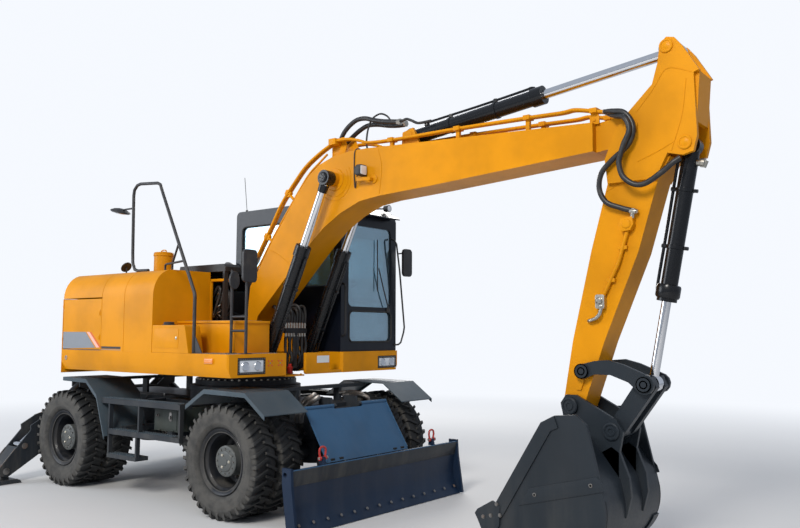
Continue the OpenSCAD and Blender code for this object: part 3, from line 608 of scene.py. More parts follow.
class Shell:
    """Closed solids under construction, in millimetres from the slewing axis."""

    def __init__(self, bm: bmesh.types.BMesh | None = None) -> None:
        """Starts with the given mesh, or with an empty one."""
        self.bm = bmesh.new() if bm is None else bm

    def skinned(self, rings: Sequence[Sequence[Vector]], loop: bool = False) -> "Shell":
        """Skins a row of rings that have the same number of points.

        Args:
            rings: the rings.
            loop: joins the last ring to the first; else both ends are closed.

        Returns:
            This shell.
        """
        rows = [[self.bm.verts.new(p) for p in ring] for ring in rings]
        count = len(rows[0])
        faces = []
        pairs = list(zip(rows, rows[1:])) + ([(rows[-1], rows[0])] if loop else [])
        for low, high in pairs:
            for i in range(count):
                j = (i + 1) % count
                faces.append(self.bm.faces.new((low[i], low[j], high[j], high[i])))
        if not loop:
            faces.append(self.bm.faces.new(rows[0][::-1]))
            faces.append(self.bm.faces.new(rows[-1]))
        bmesh.ops.recalc_face_normals(self.bm, faces=faces)
        return self

    def prism(self, outline: Outline, plane: Plane, low: float, high: float) -> "Shell":
        """Draws an outline out between two depths."""
        return self.skinned([[plane.spot(p, d) for p in outline] for d in (low, high)])

    def ring_plate(self, outer: Outline, inner: Outline, plane: Plane, low: float, high: float) -> "Shell":
        """A plate with a hole, between two outlines that have the same number of points."""
        lines = ((outer, low), (outer, high), (inner, high), (inner, low))
        return self.skinned([[plane.spot(p, depth) for p in line] for line, depth in lines], loop=True)

    def box(self, low: Spot, high: Spot) -> "Shell":
        """A box between two corners."""
        outline = ((low[0], low[1]), (high[0], low[1]), (high[0], high[1]), (low[0], high[1]))
        return self.prism(outline, Plane.XY, low[2], high[2])

    def rod(self, start: Spot, end: Spot, radius: float, sides: int = 24) -> "Shell":
        """A round bar between two points."""
        way = Vector(end) - Vector(start)
        return self.spun([(radius, 0.0), (radius, way.length)], start, way, sides)

    def spun(self, profile: Outline, foot: Spot, axis: Spot, sides: int = 48, loop: bool = False) -> "Shell":
        """Spins a profile round an axis.

        Args:
            profile: pairs of radius and height.
            foot: where the height is 0.
            axis: direction of the height.
            sides: faces round it.
            loop: the profile closes on itself, as a ring's does.

        Returns:
            This shell.
        """
        turn = frame_along(Vector(axis))
        rings = []
        for radius, height in profile:
            angles = [math.tau * i / sides for i in range(sides)]
            ring = [Vector((radius * math.cos(a), radius * math.sin(a), height)) for a in angles]
            rings.append([Vector(foot) + turn @ p for p in ring])
        return self.skinned(rings, loop=loop)

    def tube(self, path: Sequence[Spot], radius: float, sides: int = 10, loop: bool = False) -> "Shell":
        """A round tube along a path, with no twist.

        Args:
            path: its points.
            radius: its radius.
            sides: faces round it.
            loop: the path closes on itself, and lies in one plane.

        Returns:
            This shell.
        """
        points = [Vector(p) for p in path]
        ends = points + points[:1] if loop else points
        ways = [(b - a).normalized() for a, b in zip(ends, ends[1:])]
        first = ways[-1] if loop else ways[0]
        last = [] if loop else [ways[-1]]
        ways = [(first + ways[0]).normalized()] + [(a + b).normalized() for a, b in zip(ways, ways[1:])] + last
        side = (points[2] - points[0]).cross(points[1] - points[0]) if loop else ways[0].orthogonal()
        rings = []
        for point, way in zip(points, ways):
            side = (side - way * side.dot(way)).normalized()
            other = way.cross(side)
            angles = [math.tau * i / sides for i in range(sides)]
            rings.append([point + radius * (math.cos(a) * side + math.sin(a) * other) for a in angles])
        return self.skinned(rings, loop=loop)

    def bent(self, points: Sequence[Spot], radius: float, sides: int, steps: int = 6) -> "Shell":
        """A round tube along a smooth curve.

        Args:
            points: places that the curve passes.
            radius: its radius.
            sides: faces round it.
            steps: points from one place to the next.

        Returns:
            This shell.
        """
        return self.tube(curve_through(points, steps), radius, sides)

    def bolt(self, foot: Spot, axis: Spot, radius: float = 11.0, height: float = 9.0) -> "Shell":
        """A hexagon head on a washer."""
        self.spun([(radius * 1.25, -0.5), (radius * 1.25, 2.5)], foot, axis, 16)
        profile = [(radius, 2.4), (radius, height - 1.5), (radius * 0.86, height)]
        return self.spun(profile, foot, axis, 6)

    def cut(self, tool: "Shell") -> "Shell":
        """Cuts other solids, which are used up, out of this one."""
        pair = []
        for bm in (self.bm, tool.bm):
            mesh = bpy.data.meshes.new("solid")
            bm.to_mesh(mesh)
            bm.free()
            pair.append(bpy.data.objects.new("solid", mesh))
            bpy.context.collection.objects.link(pair[-1])
        modifier = pair[0].modifiers.new("solid", "BOOLEAN")
        modifier.operation, modifier.solver = "DIFFERENCE", "EXACT"
        modifier.use_self, modifier.object = True, pair[1]
        graph = bpy.context.evaluated_depsgraph_get()
        mesh = bpy.data.meshes.new_from_object(pair[0].evaluated_get(graph))
        self.bm = bmesh.new()
        self.bm.from_mesh(mesh)
        bmesh.ops.remove_doubles(self.bm, verts=self.bm.verts, dist=0.01)
        bmesh.ops.dissolve_limit(self.bm, angle_limit=math.radians(0.5), verts=self.bm.verts, edges=self.bm.edges)
        for solid in pair:
            bpy.data.objects.remove(solid)
        return self

    def to_mesh(self, name: str, bevel: float = 0.0, smooth: float = SMOOTH, segments: int = 2) -> bpy.types.Mesh:
        """Ends the mesh in the model's frame.

        Args:
            name: the mesh's name.
            bevel: width of its rounded edges in millimetres.
            smooth: steepest angle that is shaded round.
            segments: steps across a rounded edge.

        Returns:
            The mesh.
        """
        if bevel:
            soften(self.bm, bevel, 30, segments)
        for vert in self.bm.verts:
            vert.co = to_frame(vert.co)
        return shaded(self.bm, name, smooth)

    def piece(self, name: str, finish: str, body: str, bevel: float = 0.0, smooth: float = SMOOTH,
              segments: int = 2) -> bpy.types.Object:
        """Ends the mesh as a piece that rides on a body.

        Args:
            name: the piece's name.
            finish: the finish's name.
            body: the body that carries it.
            bevel: width of its rounded edges in millimetres.
            smooth: steepest angle that is shaded round.
            segments: steps across a rounded edge.

        Returns:
            The piece.
        """
        return place_mesh(self.to_mesh(name, bevel, smooth, segments), name, finish, body)


def stand(mesh: bpy.types.Mesh, name: str, finish: str) -> bpy.types.Object:
    """Puts a mesh in the scene with its finish."""
    mesh.materials.clear()
    mesh.materials.append(STOCK[finish])
    piece = bpy.data.objects.new(name, mesh)
    bpy.context.collection.objects.link(piece)
    return piece


def place_mesh(mesh: bpy.types.Mesh, name: str, finish: str, body: str) -> bpy.types.Object:
    """Puts a mesh in the scene with its finish and lets it ride on a body."""
    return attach(stand(mesh, name, finish), body)


def span(shell: Shell, name: str, start: Spot, end: Spot) -> None:
    """Ends hoses that cross a joint, as a piece that rides on no body.

    Args:
        shell: the hoses.
        name: the piece's name.
        start: where the bend starts, in millimetres from the slewing axis; not used.
        end: where it ends; not used.
    """
    piece = stand(shell.to_mesh(name), name, "hose_rubber")
    tuple(to_frame(start))
    tuple(to_frame(end))
    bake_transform(piece)


# Repeats made by Geometry Nodes


class Repeater:
    """Geometry Nodes trees that copy one item in steps and turns, or along a path."""

    def __init__(self) -> None:
        """Builds both trees."""
        self.steps = self._steps_tree()
        self.path = self._path_tree()

    @staticmethod
    def _tree(name: str, inputs: Sequence[tuple[str, str, object]]) -> bpy.types.NodeTree:
        """Makes a tree with named inputs.

        Args:
            name: the tree's name.
            inputs: name, socket type and default of each input.

        Returns:
            The tree, with its two group nodes.
        """
        tree = bpy.data.node_groups.new(name, "GeometryNodeTree")
        tree.interface.new_socket("Geometry", in_out="INPUT", socket_type="NodeSocketGeometry")
        for label, kind, default in inputs:
            socket = tree.interface.new_socket(label, in_out="INPUT", socket_type=f"NodeSocket{kind}")
            if default is not None:
                socket.default_value = default
        tree.interface.new_socket("Geometry", in_out="OUTPUT", socket_type="NodeSocketGeometry")
        tree.nodes.new("NodeGroupInput")
        tree.nodes.new("NodeGroupOutput")
        return tree

    @staticmethod
    def _end(tree: bpy.types.NodeTree, points: bpy.types.NodeSocket, turn: bpy.types.NodeSocket) -> None:
        """Puts the item on points, realizes it and sets its finish."""
        given = tree.nodes["Group Input"].outputs
        item = add_node(tree, "GeometryNodeObjectInfo", {}, {"Object": given["Item"]})
        copies = add_node(tree, "GeometryNodeInstanceOnPoints", {},
                            {"Points": points, "Instance": item.outputs["Geometry"], "Rotation": turn})
        real = add_node(tree, "GeometryNodeRealizeInstances", {}, {"Geometry": copies.outputs["Instances"]})
        done = add_node(tree, "GeometryNodeSetMaterial", {},
                          {"Geometry": real.outputs["Geometry"], "Material": given["Finish"]})
        tree.links.new(done.outputs["Geometry"], tree.nodes["Group Output"].inputs["Geometry"])

    def _steps_tree(self) -> bpy.types.NodeTree:
        """Copies that each step on by a vector and turn on about Z."""
        tree = self._tree("copies_in_steps", (
            ("Item", "Object", None), ("Finish", "Material", None), ("Count", "Int", 8),
            ("Step", "Vector", (0.0, 0.0, 0.0)), ("Turn", "Float", 0.0)))
        given = tree.nodes["Group Input"].outputs
        index = add_node(tree, "GeometryNodeInputIndex").outputs[0]
        place = add_node(tree, "ShaderNodeVectorMath", {"operation": "SCALE"}, {0: given["Step"], "Scale": index})
        dots = add_node(tree, "GeometryNodePoints", {}, {"Count": given["Count"], "Position": place.outputs[0]})
        angle = add_node(tree, "ShaderNodeMath", {"operation": "MULTIPLY"}, {0: index, 1: given["Turn"]})
        turn = add_node(tree, "ShaderNodeCombineXYZ", {}, {"Z": angle.outputs[0]})
        self._end(tree, dots.outputs[0], turn.outputs[0])
        return tree

    def _path_tree(self) -> bpy.types.NodeTree:
        """Copies along a path, each with its Z along the path."""
        tree = self._tree("copies_along_path", (
            ("Item", "Object", None), ("Finish", "Material", None), ("Count", "Int", 20)))
        given = tree.nodes["Group Input"].outputs
        dots = add_node(tree, "GeometryNodeCurveToPoints", {"mode": "COUNT"},
                          {"Curve": given["Geometry"], "Count": given["Count"]})
        self._end(tree, dots.outputs["Points"], dots.outputs["Rotation"])
        return tree

    def _bake(self, host: bpy.types.Object, item: bpy.types.Object, tree: bpy.types.NodeTree,
              values: dict, name: str) -> bpy.types.Mesh:
        """Runs a tree on a host and takes the plain mesh that comes out.

        Args:
            host: the object that carries the modifier.
            item: what is copied.
            tree: the tree.
            values: inputs by name.
            name: the mesh's name.

        Returns:
            The mesh.
        """
        bpy.context.collection.objects.link(host)
        bpy.context.collection.objects.link(item)
        modifier = host.modifiers.new("copies", "NODES")
        modifier.node_group = tree
        for socket in tree.interface.items_tree:
            if socket.in_out == "INPUT" and socket.name in values:
                modifier[socket.identifier] = values[socket.name]
        graph = bpy.context.evaluated_depsgraph_get()
        mesh = bpy.data.meshes.new_from_object(host.evaluated_get(graph))
        mesh.name = name
        host.modifiers.clear()
        bpy.data.objects.remove(host)
        bpy.data.objects.remove(item)
        mesh.set_sharp_from_angle(angle=math.radians(SMOOTH))
        return mesh

    def stepped(self, item: bpy.types.Mesh, name: str, finish: str, body: str, places: Sequence[Matrix],
                count: int, step: Spot = (0.0, 0.0, 0.0), turn: float = 0.0) -> bpy.types.Object:
        """Copies an item in equal steps or turns, at each of several places, as one piece.

        Args:
            item: the mesh that is copied, in metres, about its own origin.
            name: the piece's name.
            finish: the finish's name.
            body: the body that carries it.
            places: where each row or ring stands.
            count: copies in a row or ring.
            step: way from one copy to the next, in metres.
            turn: turn from one copy to the next, in radians.

        Returns:
            The piece.
        """
        host = bpy.data.objects.new("host", bpy.data.meshes.new("host"))
        values = {"Item": bpy.data.objects.new("item", item), "Finish": STOCK[finish], "Count": count,
                  "Step": tuple(step), "Turn": turn}
        row = self._bake(host, values["Item"], self.steps, values, name)
        bm = bmesh.new()
        for place in places:
            copy = row.copy()
            copy.transform(place)
            if place.determinant() < 0:
                copy.flip_normals()
            bm.from_mesh(copy)
        return place_mesh(shaded(bm, name, SMOOTH), name, finish, body)

    def bolt_ring(self, name: str, finish: str, body: str, places: Sequence[Matrix], count: int, radius: float,
                  head: tuple[float, float]) -> bpy.types.Object:
        """Rings each of several places with bolts, as one piece.

        Args:
            name: the piece's name.
            finish: the finish's name.
            body: the body that carries it.
            places: where each ring stands.
            count: bolts in a ring.
            radius: the ring's radius in metres.
            head: radius and height of a bolt's head in millimetres.

        Returns:
            The piece.
        """
        item = plain(Shell().bolt((0, 0, 0), (0, 0, 1), *head), "bolt")
        item.transform(Matrix.Translation((radius, 0, 0)))
        return self.stepped(item, name, finish, body, places, count, turn=math.tau / count)

    def along(self, item: bpy.types.Mesh, path: Sequence[Vector], count: int, name: str, finish: str,
              body: str) -> bpy.types.Object:
        """Copies an item along a path.

        Args:
            item: the mesh that is copied, in metres, with its Z along the path.
            path: the path's points in millimetres from the slewing axis.
            count: number of copies.
            name: the piece's name.
            finish: the finish's name.
            body: the body that carries it.

        Returns:
            The piece.
        """
        curve = bpy.data.curves.new("path", "CURVE")
        curve.dimensions = "3D"
        line = curve.splines.new("POLY")
        line.points.add(len(path) - 1)
        for dot, point in zip(line.points, path):
            dot.co = (*to_frame(point), 1.0)
        host = bpy.data.objects.new("host", curve)
        values = {"Item": bpy.data.objects.new("item", item), "Finish": STOCK[finish], "Count": count}
        return place_mesh(self._bake(host, values["Item"], self.path, values, name), name, finish, body)


def plain(shell: Shell, name: str, bevel: float = 0.0) -> bpy.types.Mesh:
    """Ends a shell that was drawn about its own origin, as an item to copy."""
    mesh = shell.to_mesh(name, bevel)
    mesh.transform(Matrix.Translation((-SLEW_X, 0.0, 0.0)))
    return mesh


def looking(place: Spot, axis: Spot, along: Spot | None = None) -> Matrix:
    """Where an item stands.

    Args:
        place: its origin in millimetres from the slewing axis.
        axis: the way of its Z.
        along: the way of its X, square to its Z.

    Returns:
        The turn and place, in metres.
    """
    if along is None:
        turn = frame_along(Vector(axis))
    else:
        up, first = Vector(axis).normalized(), Vector(along).normalized()
        turn = Matrix((first, up.cross(first), up)).transposed()
    return Matrix.Translation(to_frame(place)) @ turn.to_4x4()


def level(x: float, y: float, z: float) -> Matrix:
    """Where an item stands level and points forward, from a place in millimetres from the slewing axis."""
    return looking((x, y, z), (0, 0, 1), (1, 0, 0))


def ram_axis(pins: Outline, y: float) -> tuple[Vector, Vector, Vector]:
    """A cylinder's lower pin, upper pin and direction, from its pins as x and z and its place across."""
    foot, head = (Vector((x, y, z)) for x, z in pins)
    return foot, head, (head - foot).normalized()


class Dresser:
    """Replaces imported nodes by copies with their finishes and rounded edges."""

    # Edges steeper than this angle in degrees are sharp
    sharpest = 32.0

    def __init__(self, frame: dict) -> None:
        """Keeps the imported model."""
        self.frame = frame
        self.body_of = {node: body for body, nodes in frame["record"]["behaviour"]["bodies"].items()
                        for node in nodes}

    def clean(self, node: str) -> bmesh.types.BMesh:
        """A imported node's mesh without the edges that only split flat faces."""
        bm = bmesh.new()
        bm.from_mesh(self.frame["nodes"][node].data)
        bmesh.ops.remove_doubles(bm, verts=bm.verts, dist=2e-5)
        bmesh.ops.dissolve_limit(bm, angle_limit=math.radians(0.6), verts=bm.verts, edges=bm.edges)
        return bm

    def solid(self, node: str) -> Shell:
        """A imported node's solid, in millimetres from the slewing axis, to be cut or added to."""
        shell = Shell(self.clean(node))
        for vert in shell.bm.verts:
            vert.co = (vert.co - Vector((SLEW_X, 0.0, 0.0))) * 1000
        return shell

    def even(self, piece: bpy.types.Object, *nodes: str) -> None:
        """Evens the shading of a piece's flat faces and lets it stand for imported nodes."""
        harden = piece.modifiers.new("even", "WEIGHTED_NORMAL")
        harden.keep_sharp = True
        graph = bpy.context.evaluated_depsgraph_get()
        piece.data = bpy.data.meshes.new_from_object(piece.evaluated_get(graph))
        piece.modifiers.clear()
        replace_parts(piece, *nodes)

    def round(self, finish: str, bevel: float, *nodes: str) -> None:
        """Replaces nodes by copies with rounded edges.

        Args:
            finish: the finish's name.
            bevel: width of the rounded edges in millimetres.
            nodes: the nodes' names.
        """
        for node in nodes:
            bm = self.clean(node)
            soften(bm, bevel / 1000, self.sharpest)
            mesh = shaded(bm, f"{node}_skin", self.sharpest)
            self.even(place_mesh(mesh, f"{node}_skin", finish, self.body_of[node]), node)


@dataclass
class Studio:
    """Floor, lamps, sky and camera."""

    eye: Spot = (6967.0, -6119.0, 1707.0)
    azimuth: float = 38.13
    pitch: float = 4.77
    roll: float = -0.21
    lens: float = 36.6

    def camera(self) -> None:
        """Sets the camera where the photograph was taken."""
        data = bpy.data.cameras.new("view")
        data.lens, data.sensor_width, data.clip_end = self.lens, 36.0, 200.0
        camera = bpy.data.objects.new("view", data)
        camera.location = to_frame(self.eye)
        turn = (Matrix.Rotation(math.radians(self.azimuth), 3, "Z")
                @ Matrix.Rotation(math.radians(90 + self.pitch), 3, "X")
                @ Matrix.Rotation(math.radians(-self.roll), 3, "Z"))
        camera.rotation_euler = turn.to_euler()
        bpy.context.collection.objects.link(camera)
        bpy.context.scene.camera = camera

    def floor(self) -> None:
        """Lays a pale floor that reaches far out."""
        graph = Graph("studio_floor")
        cloud = graph.noise(0.8, 4)
        material = graph.finish(Base_Color=graph.mix(cloud, (0.60, 0.60, 0.60), (0.64, 0.64, 0.64)), Roughness=0.8)
        far = graph.add("ShaderNodeVectorMath", {"operation": "LENGTH"}, {0: graph.place}, "Value").fade(4.5, 15.0)
        seen = graph.add("ShaderNodeLightPath", {}, {}, "Is Camera Ray")
        glow = graph.add("ShaderNodeEmission", {}, {"Color": (0.92, 0.95, 1.0, 1.0), "Strength": 1.0})
        near = Signal(graph, graph.output.inputs["Surface"].links[0].from_socket)
        both = graph.add("ShaderNodeMixShader", {}, {0: far * seen, 1: near, 2: glow})
        graph.tree.links.new(both.socket, graph.output.inputs["Surface"])
        bpy.ops.mesh.primitive_plane_add(size=160, location=(0, 0, 0))
        plane = bpy.context.object
        plane.name = "floor"
        plane.data.materials.append(material)

    def lamp(self, name: str, place: Spot, aim: Spot, size: float, power: float, tint: Colour) -> None:
        """Adds a soft lamp.

        Args:
            name: its name.
            place: where it stands, in metres.
            aim: what it points at, in metres.
            size: its width in metres.
            power: its power in watts.
            tint: its colour.
        """
        data = bpy.data.lights.new(name, "AREA")
        data.size, data.energy, data.color = size, power, tint
        lamp = bpy.data.objects.new(name, data)
        lamp.location = place
        lamp.rotation_euler = (Vector(aim) - Vector(place)).to_track_quat("-Z", "Y").to_euler()
        bpy.context.collection.objects.link(lamp)

    def sky(self) -> None:
        """Lights all from a pale sky."""
        world = bpy.data.worlds.new("sky")
        bpy.context.scene.world = world
        world.use_nodes = True
        tree = world.node_tree
        tree.nodes.clear()
        path = add_node(tree, "ShaderNodeLightPath").outputs
        seen = add_node(tree, "ShaderNodeMath", {"operation": "MAXIMUM"},
                        {0: path["Is Camera Ray"], 1: path["Is Transmission Ray"]})
        dim = add_node(tree, "ShaderNodeBackground", {}, {"Color": (0.78, 0.86, 1.0, 1.0), "Strength": 0.55})
        bright = add_node(tree, "ShaderNodeBackground", {}, {"Color": (0.92, 0.95, 1.0, 1.0), "Strength": 1.0})
        blend = add_node(tree, "ShaderNodeMixShader", {},
                         {0: seen.outputs[0], 1: dim.outputs[0], 2: bright.outputs[0]})
        add_node(tree, "ShaderNodeOutputWorld", {}, {"Surface": blend.outputs[0]})

    def build(self) -> None:
        """Sets up all of it."""
        bpy.context.scene.view_settings.view_transform = "Standard"
        self.camera()
        self.floor()
        self.sky()
        self.lamp("key", (4.0, -12.0, 10.0), (0.3, 0, 1.4), 4.0, 1600.0, (1.0, 0.96, 0.90))
        self.lamp("fill", (-9.5, -8.0, 5.0), (-0.5, 0, 1.5), 6.0, 520.0, (0.90, 0.95, 1.0))
        self.lamp("rim", (-6.0, 9.0, 7.0), (0, 0, 2.0), 5.0, 650.0, (1.0, 0.97, 0.92))


# Sub-assemblies


@dataclass
class Wheels:
    """Four twin wheels: tyres with staggered lugs, dished rims and planetary hubs."""

    repeater: Repeater
    radius: float = WHEEL_R
    disc_y: float = 950.0
    tyre_y: tuple[float, float] = (1109.0, 791.0)
    lugs: int = 32
    axle_x: tuple[tuple[str, float], ...] = (("front", FRONT_AXLE), ("rear", REAR_AXLE))

    # Half of a tyre's section, as radius and distance along the axle
    carcass = ((262, -86), (303, -87), (318, -112), (345, -124), (352, -129), (358, -128), (385, -134), (410, -136),
               (432, -133), (438, -135), (446, -131), (472, -124), (492, -112), (499, -96), (500, -40), (496, -6))

    def lug(self, side: int) -> bpy.types.Mesh:
        """One tread lug on one shoulder, about the wheel's centre with Z as the axle.

        Args:
            side: +1 or -1, the shoulder that it stands on.

        Returns:
            The lug.
        """
        # Sections from the side wall over the shoulder to the middle: axial place, inner and outer radius,
        # half width and lag along the tread, in millimetres
        sections = (
            (133, 448, 452, 14, 0), (136, 470, 482, 17, 0), (132, 488, 509, 18, 2), (118, 488, 519, 18, 8),
            (90, 492, 522, 16, 20), (50, 492, 522, 15, 42), (-8, 492, 520, 13, 66),
        )
        rings = []
        for axial, inner, outer, half, lag in sections:
            ring = []
            for along, radius in ((-half, inner), (half, inner), (half * 0.86, outer), (-half * 0.86, outer)):
                angle = (along + lag) / self.radius
                ring.append(Vector((radius * math.cos(angle), radius * math.sin(angle), side * axial)))
            rings.append(ring)
        shell = Shell()
        shell.skinned(rings)
        return plain(shell, "lug", 3.0)

    def tyres(self, end: str, x: float, side: int, word: str) -> None:
        """Dresses both tyres of one wheel."""
        body = f"wheel_{end}_{word}"
        shell = Shell()
        for y in self.tyre_y:
            shell.spun(both_sides(self.carcass), (x, side * y, self.radius), (0, 1, 0), 96, loop=True)
        skin = shell.piece(f"tyre_walls_{end}_{word}", "dusty_tyre", body, smooth=50)
        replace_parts(skin, f"tyres_{end}_{word}")
        pitch = math.tau / self.lugs
        for name, shoulder, phase in (("outer", 1, 0.0), ("inner", -1, 0.5)):
            places = [looking((x, side * y, self.radius), (0, side, 0)) @ Matrix.Rotation(phase * pitch + k, 4, "Z")
                      for k, y in enumerate(self.tyre_y)]
            self.repeater.stepped(self.lug(shoulder), f"lugs_{name}_{end}_{word}", "dusty_tyre", body, places,
                                  self.lugs, turn=pitch)

    def rims(self, end: str, x: float, side: int, word: str) -> None:
        """Dresses the rims, hub and nuts of one wheel."""
        body = f"wheel_{end}_{word}"
        centre = (x, side * self.disc_y, self.radius)
        rim = Shell()
        # From the outer flange's lip in to the disc and back out, as radius and distance along the axle
        half = ((60, 30), (150, 24), (196, 20), (222, 34), (233, 60), (236, 150), (243, 200), (256, 214), (264, 226),
                (266, 243), (276, 250), (284, 258), (296, 262), (302, 256), (301, 246), (290, 243), (272, 236),
                (262, 214), (262, 80), (258, 66), (258, 0))
        rim.spun(both_sides(half), centre, (0, side, 0), 72, loop=True)
        skin = rim.piece(f"rim_{end}_{word}", "rim_enamel", body, smooth=30)
        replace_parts(skin, f"rims_{end}_{word}")
        hub = Shell()
        profile = ((0.1, -270), (118, -270), (126, -262), (126, -60), (150, -40), (150, 34), (150, 44), (142, 60),
                   (137, 74), (137, 188), (141, 190), (141, 200), (134, 206), (128, 208), (96, 208), (92, 214),
                   (86, 217), (40, 217), (36, 222), (0.1, 222))
        hub.spun(profile, centre, (0, side, 0), 60)
        hub.piece(f"hub_{end}_{word}", "hub_enamel", body, smooth=30)
        # name, finish, place along the axle from the disc, count, ring's radius in metres, head
        for name, finish, out, count, radius, head in (("wheel_nuts", "worn_steel", 22, 10, 0.175, (12, 16)),
                                                       ("hub_bolts", "worn_steel", 208, 12, 0.112, (7, 8)),
                                                       ("hub_plugs", "plated_steel", 217, 3, 0.062, (11, 10))):
            place = looking((x, side * (self.disc_y + out), self.radius), (0, side, 0))
            self.repeater.bolt_ring(f"{name}_{end}_{word}", finish, body, [place], count, radius, head)

    def build(self) -> None:
        """Dresses all four."""
        for end, x in self.axle_x:
            for side, word in SIDE_WORDS:
                self.tyres(end, x, side, word)
                self.rims(end, x, side, word)
        LOG.info("wheels")


@dataclass
class Carrier:
    """Fittings of the carrier that don't move on their own."""

    repeater: Repeater
    body: str = "chassis"
    # Treads as their two ends and their top
    treads: tuple[tuple[float, float, float], ...] = ((-918, 420, 1000), (-795, 340, 680), (-795, -280, 430))
    flange_r: float = 0.530
    # Outer faces of the two differentials and the way that they face
    covers: tuple[tuple[float, int], ...] = ((1240, 1), (-1830, -1))

    def steps(self) -> None:
        """Gives the steps three rows of raised teeth each."""
        tooth = plain(Shell().box((-10, -5, -0.5), (10, 5, 7)), "tooth", 1.5)
        for i, (x0, x1, z) in enumerate(self.treads):
            places = [level(x0 + 24, side * y, z) for side in SIDES for y in (1186, 1148, 1110)]
            self.repeater.stepped(tooth, f"tread_teeth_{i}", "fender_enamel", self.body, places,
                                  int((x1 - x0 - 30) / 33), step=(0.033, 0, 0))

    def toolboxes(self) -> None:
        """Hangs doors with latches on the tool boxes."""
        door, handle = Shell(), Shell()
        for side in SIDES:
            door.prism(rounded((-184, 716), (168, 918), 16), Plane.XZ, side * 1039.5, side * 1045)
            for x in (-120, 100):
                door.rod((x - 22, side * 1046, 711), (x + 22, side * 1046, 711), 6, 12)
            handle.prism(rounded((52, 806), (92, 892), 8), Plane.XZ, side * 1044.5, side * 1050)
            handle.prism(rounded((60, 824), (84, 858), 10), Plane.XZ, side * 1049, side * 1062)
            handle.spun(((17, 0), (17, 5), (10, 8), (9, 20), (0.1, 22)),
                        (-138, side * 1044, 855), (0, side, 0), 24)
        door.piece("toolbox_doors", "box_enamel", self.body, 1.5)
        handle.piece("toolbox_latches", "worn_steel", self.body, 1.0)

    def ring_bolts(self) -> None:
        """Rings the slewing bearing with bolts."""
        self.repeater.bolt_ring("slew_ring_bolts", "plated_steel", self.body, [level(0, 0, 1190)], 44,
                                self.flange_r, (12, 13))

    def axles(self) -> None:
        """Adds the differentials' covers, the shafts' joints, kingpin caps and the axles' bolts."""
        covers, joints = Shell(), Shell()
        for x, way in self.covers:
            covers.spun(((112, -2), (112, 10), (98, 16), (64, 34), (20, 40), (0.1, 40)), (x, 0, WHEEL_R),
                        (way, 0, 0), 40)
        for y in (-580, 580):
            for z, up in ((672, 1), (372, -1)):
                covers.spun(capped(48, -2, 8, 34, 13), (FRONT_AXLE, y, z), (0, 0, up), 28)
        for x, way in ((-208, 1), (858, -1), (-552, -1), (-1448, 1)):
            joints.spun(((64, -6), (64, 8), (50, 12), (46, 40), (56, 46), (56, 60), (40, 70), (0.1, 70)),
                        (x, 0, WHEEL_R), (way, 0, 0), 24)
        covers.piece("axle_covers", "carrier_enamel", self.body, smooth=30)
        joints.piece("shaft_joints", "worn_steel", self.body, smooth=30)
        places = [looking((x + way * 10, 0, WHEEL_R), (way, 0, 0)) for x, way in self.covers]
        self.repeater.bolt_ring("cover_bolts", "worn_steel", self.body, places, 14, 0.104, (8, 9))

    def pipes(self) -> None:
        """Runs pipes along the main beam and hoses on to the axles."""
        pipe, hose, clip = Shell(), Shell(), Shell()
        for side in SIDES:
            for z in (968, 984):
                y = side * (340 if z > 975 else 347)
                pipe.bent([(-1600, y, z), (-600, y, z), (400, y, z), (1180, y, z),
                           (1262, y - side * 26, z + 30)], 7, 8, 3)
            for x in (-1500, -1000, 520, 900):
                clip.box((x - 12, side * 329, 958), (x + 12, side * 356, 992))
            for x in (FRONT_AXLE, REAR_AXLE):
                way = 1 if x < 0 else -1
                hose.bent([(x + way * 330, side * 338, 966), (x + way * 300, side * 372, 900),
                           (x + way * 210, side * 400, 720), (x + way * 120, side * 395, 610),
                           (x + way * 66, side * 372, 588)], 10, 10)
        pipe.piece("beam_pipes", "hose_rubber", self.body)
        hose.piece("axle_hoses", "hose_rubber", self.body)
        clip.piece("beam_clips", "worn_steel", self.body, 1.5)

    def guards(self) -> None:
        """Lays the spring-wrapped blade hoses over the beam's front."""
        ring = plain(Shell().spun(((23, -2.2), (26.5, 0), (23, 2.2), (20, 0)), (0, 0, 0), (0, 0, 1), 12, loop=True),
                     "spring_turn")
        for side, word in SIDE_WORDS:
            paths = []
            for i, x in enumerate((1380, 1330)):
                lift = 22 * i
                paths.append(curve_through([
                    (x - 120, side * 205, 1050 + lift), (x - 40, side * 250, 1060 + lift),
                    (x + 10, side * 350, 1046 + lift), (x + 14, side * 430, 1020 + lift),
                    (x - 14, side * 464, 972), (x - 80, side * 440, 890), (x - 130, side * 392, 800),
                    (x - 136, side * 358, 730), (x - 118, side * 343, 700)], 8))
            hose = Shell()
            for path in paths:
                hose.tube(path, 20, 10)
            hose.piece(f"blade_hoses_{word}", "hose_rubber", self.body)
            for i, path in enumerate(paths):
                self.repeater.along(ring, path[6:46], 74, f"hose_spring_{word}_{i}", "worn_steel", self.body)

    def tow_pin(self) -> None:
        """Drops a pin through the towing plate."""
        x = -2448
        pin = Shell().rod((x, 0, 706), (x, 0, 806), 21, 28)
        pin.spun(((31, 770), (31, 780), (24, 782), (24, 800)), (x, 0, 0), (0, 0, 1), 28)
        pin.bent([(x, -60, 822), (x, -48, 806), (x, 0, 802), (x, 48, 806), (x, 60, 822)], 8, 10, 4)
        pin.piece("tow_pin", "worn_steel", self.body, smooth=30)

    def build(self) -> None:
        """Makes all of them."""
        self.steps()
        self.toolboxes()
        self.ring_bolts()
        self.axles()
        self.pipes()
        self.guards()
        self.tow_pin()
        LOG.info("carrier")


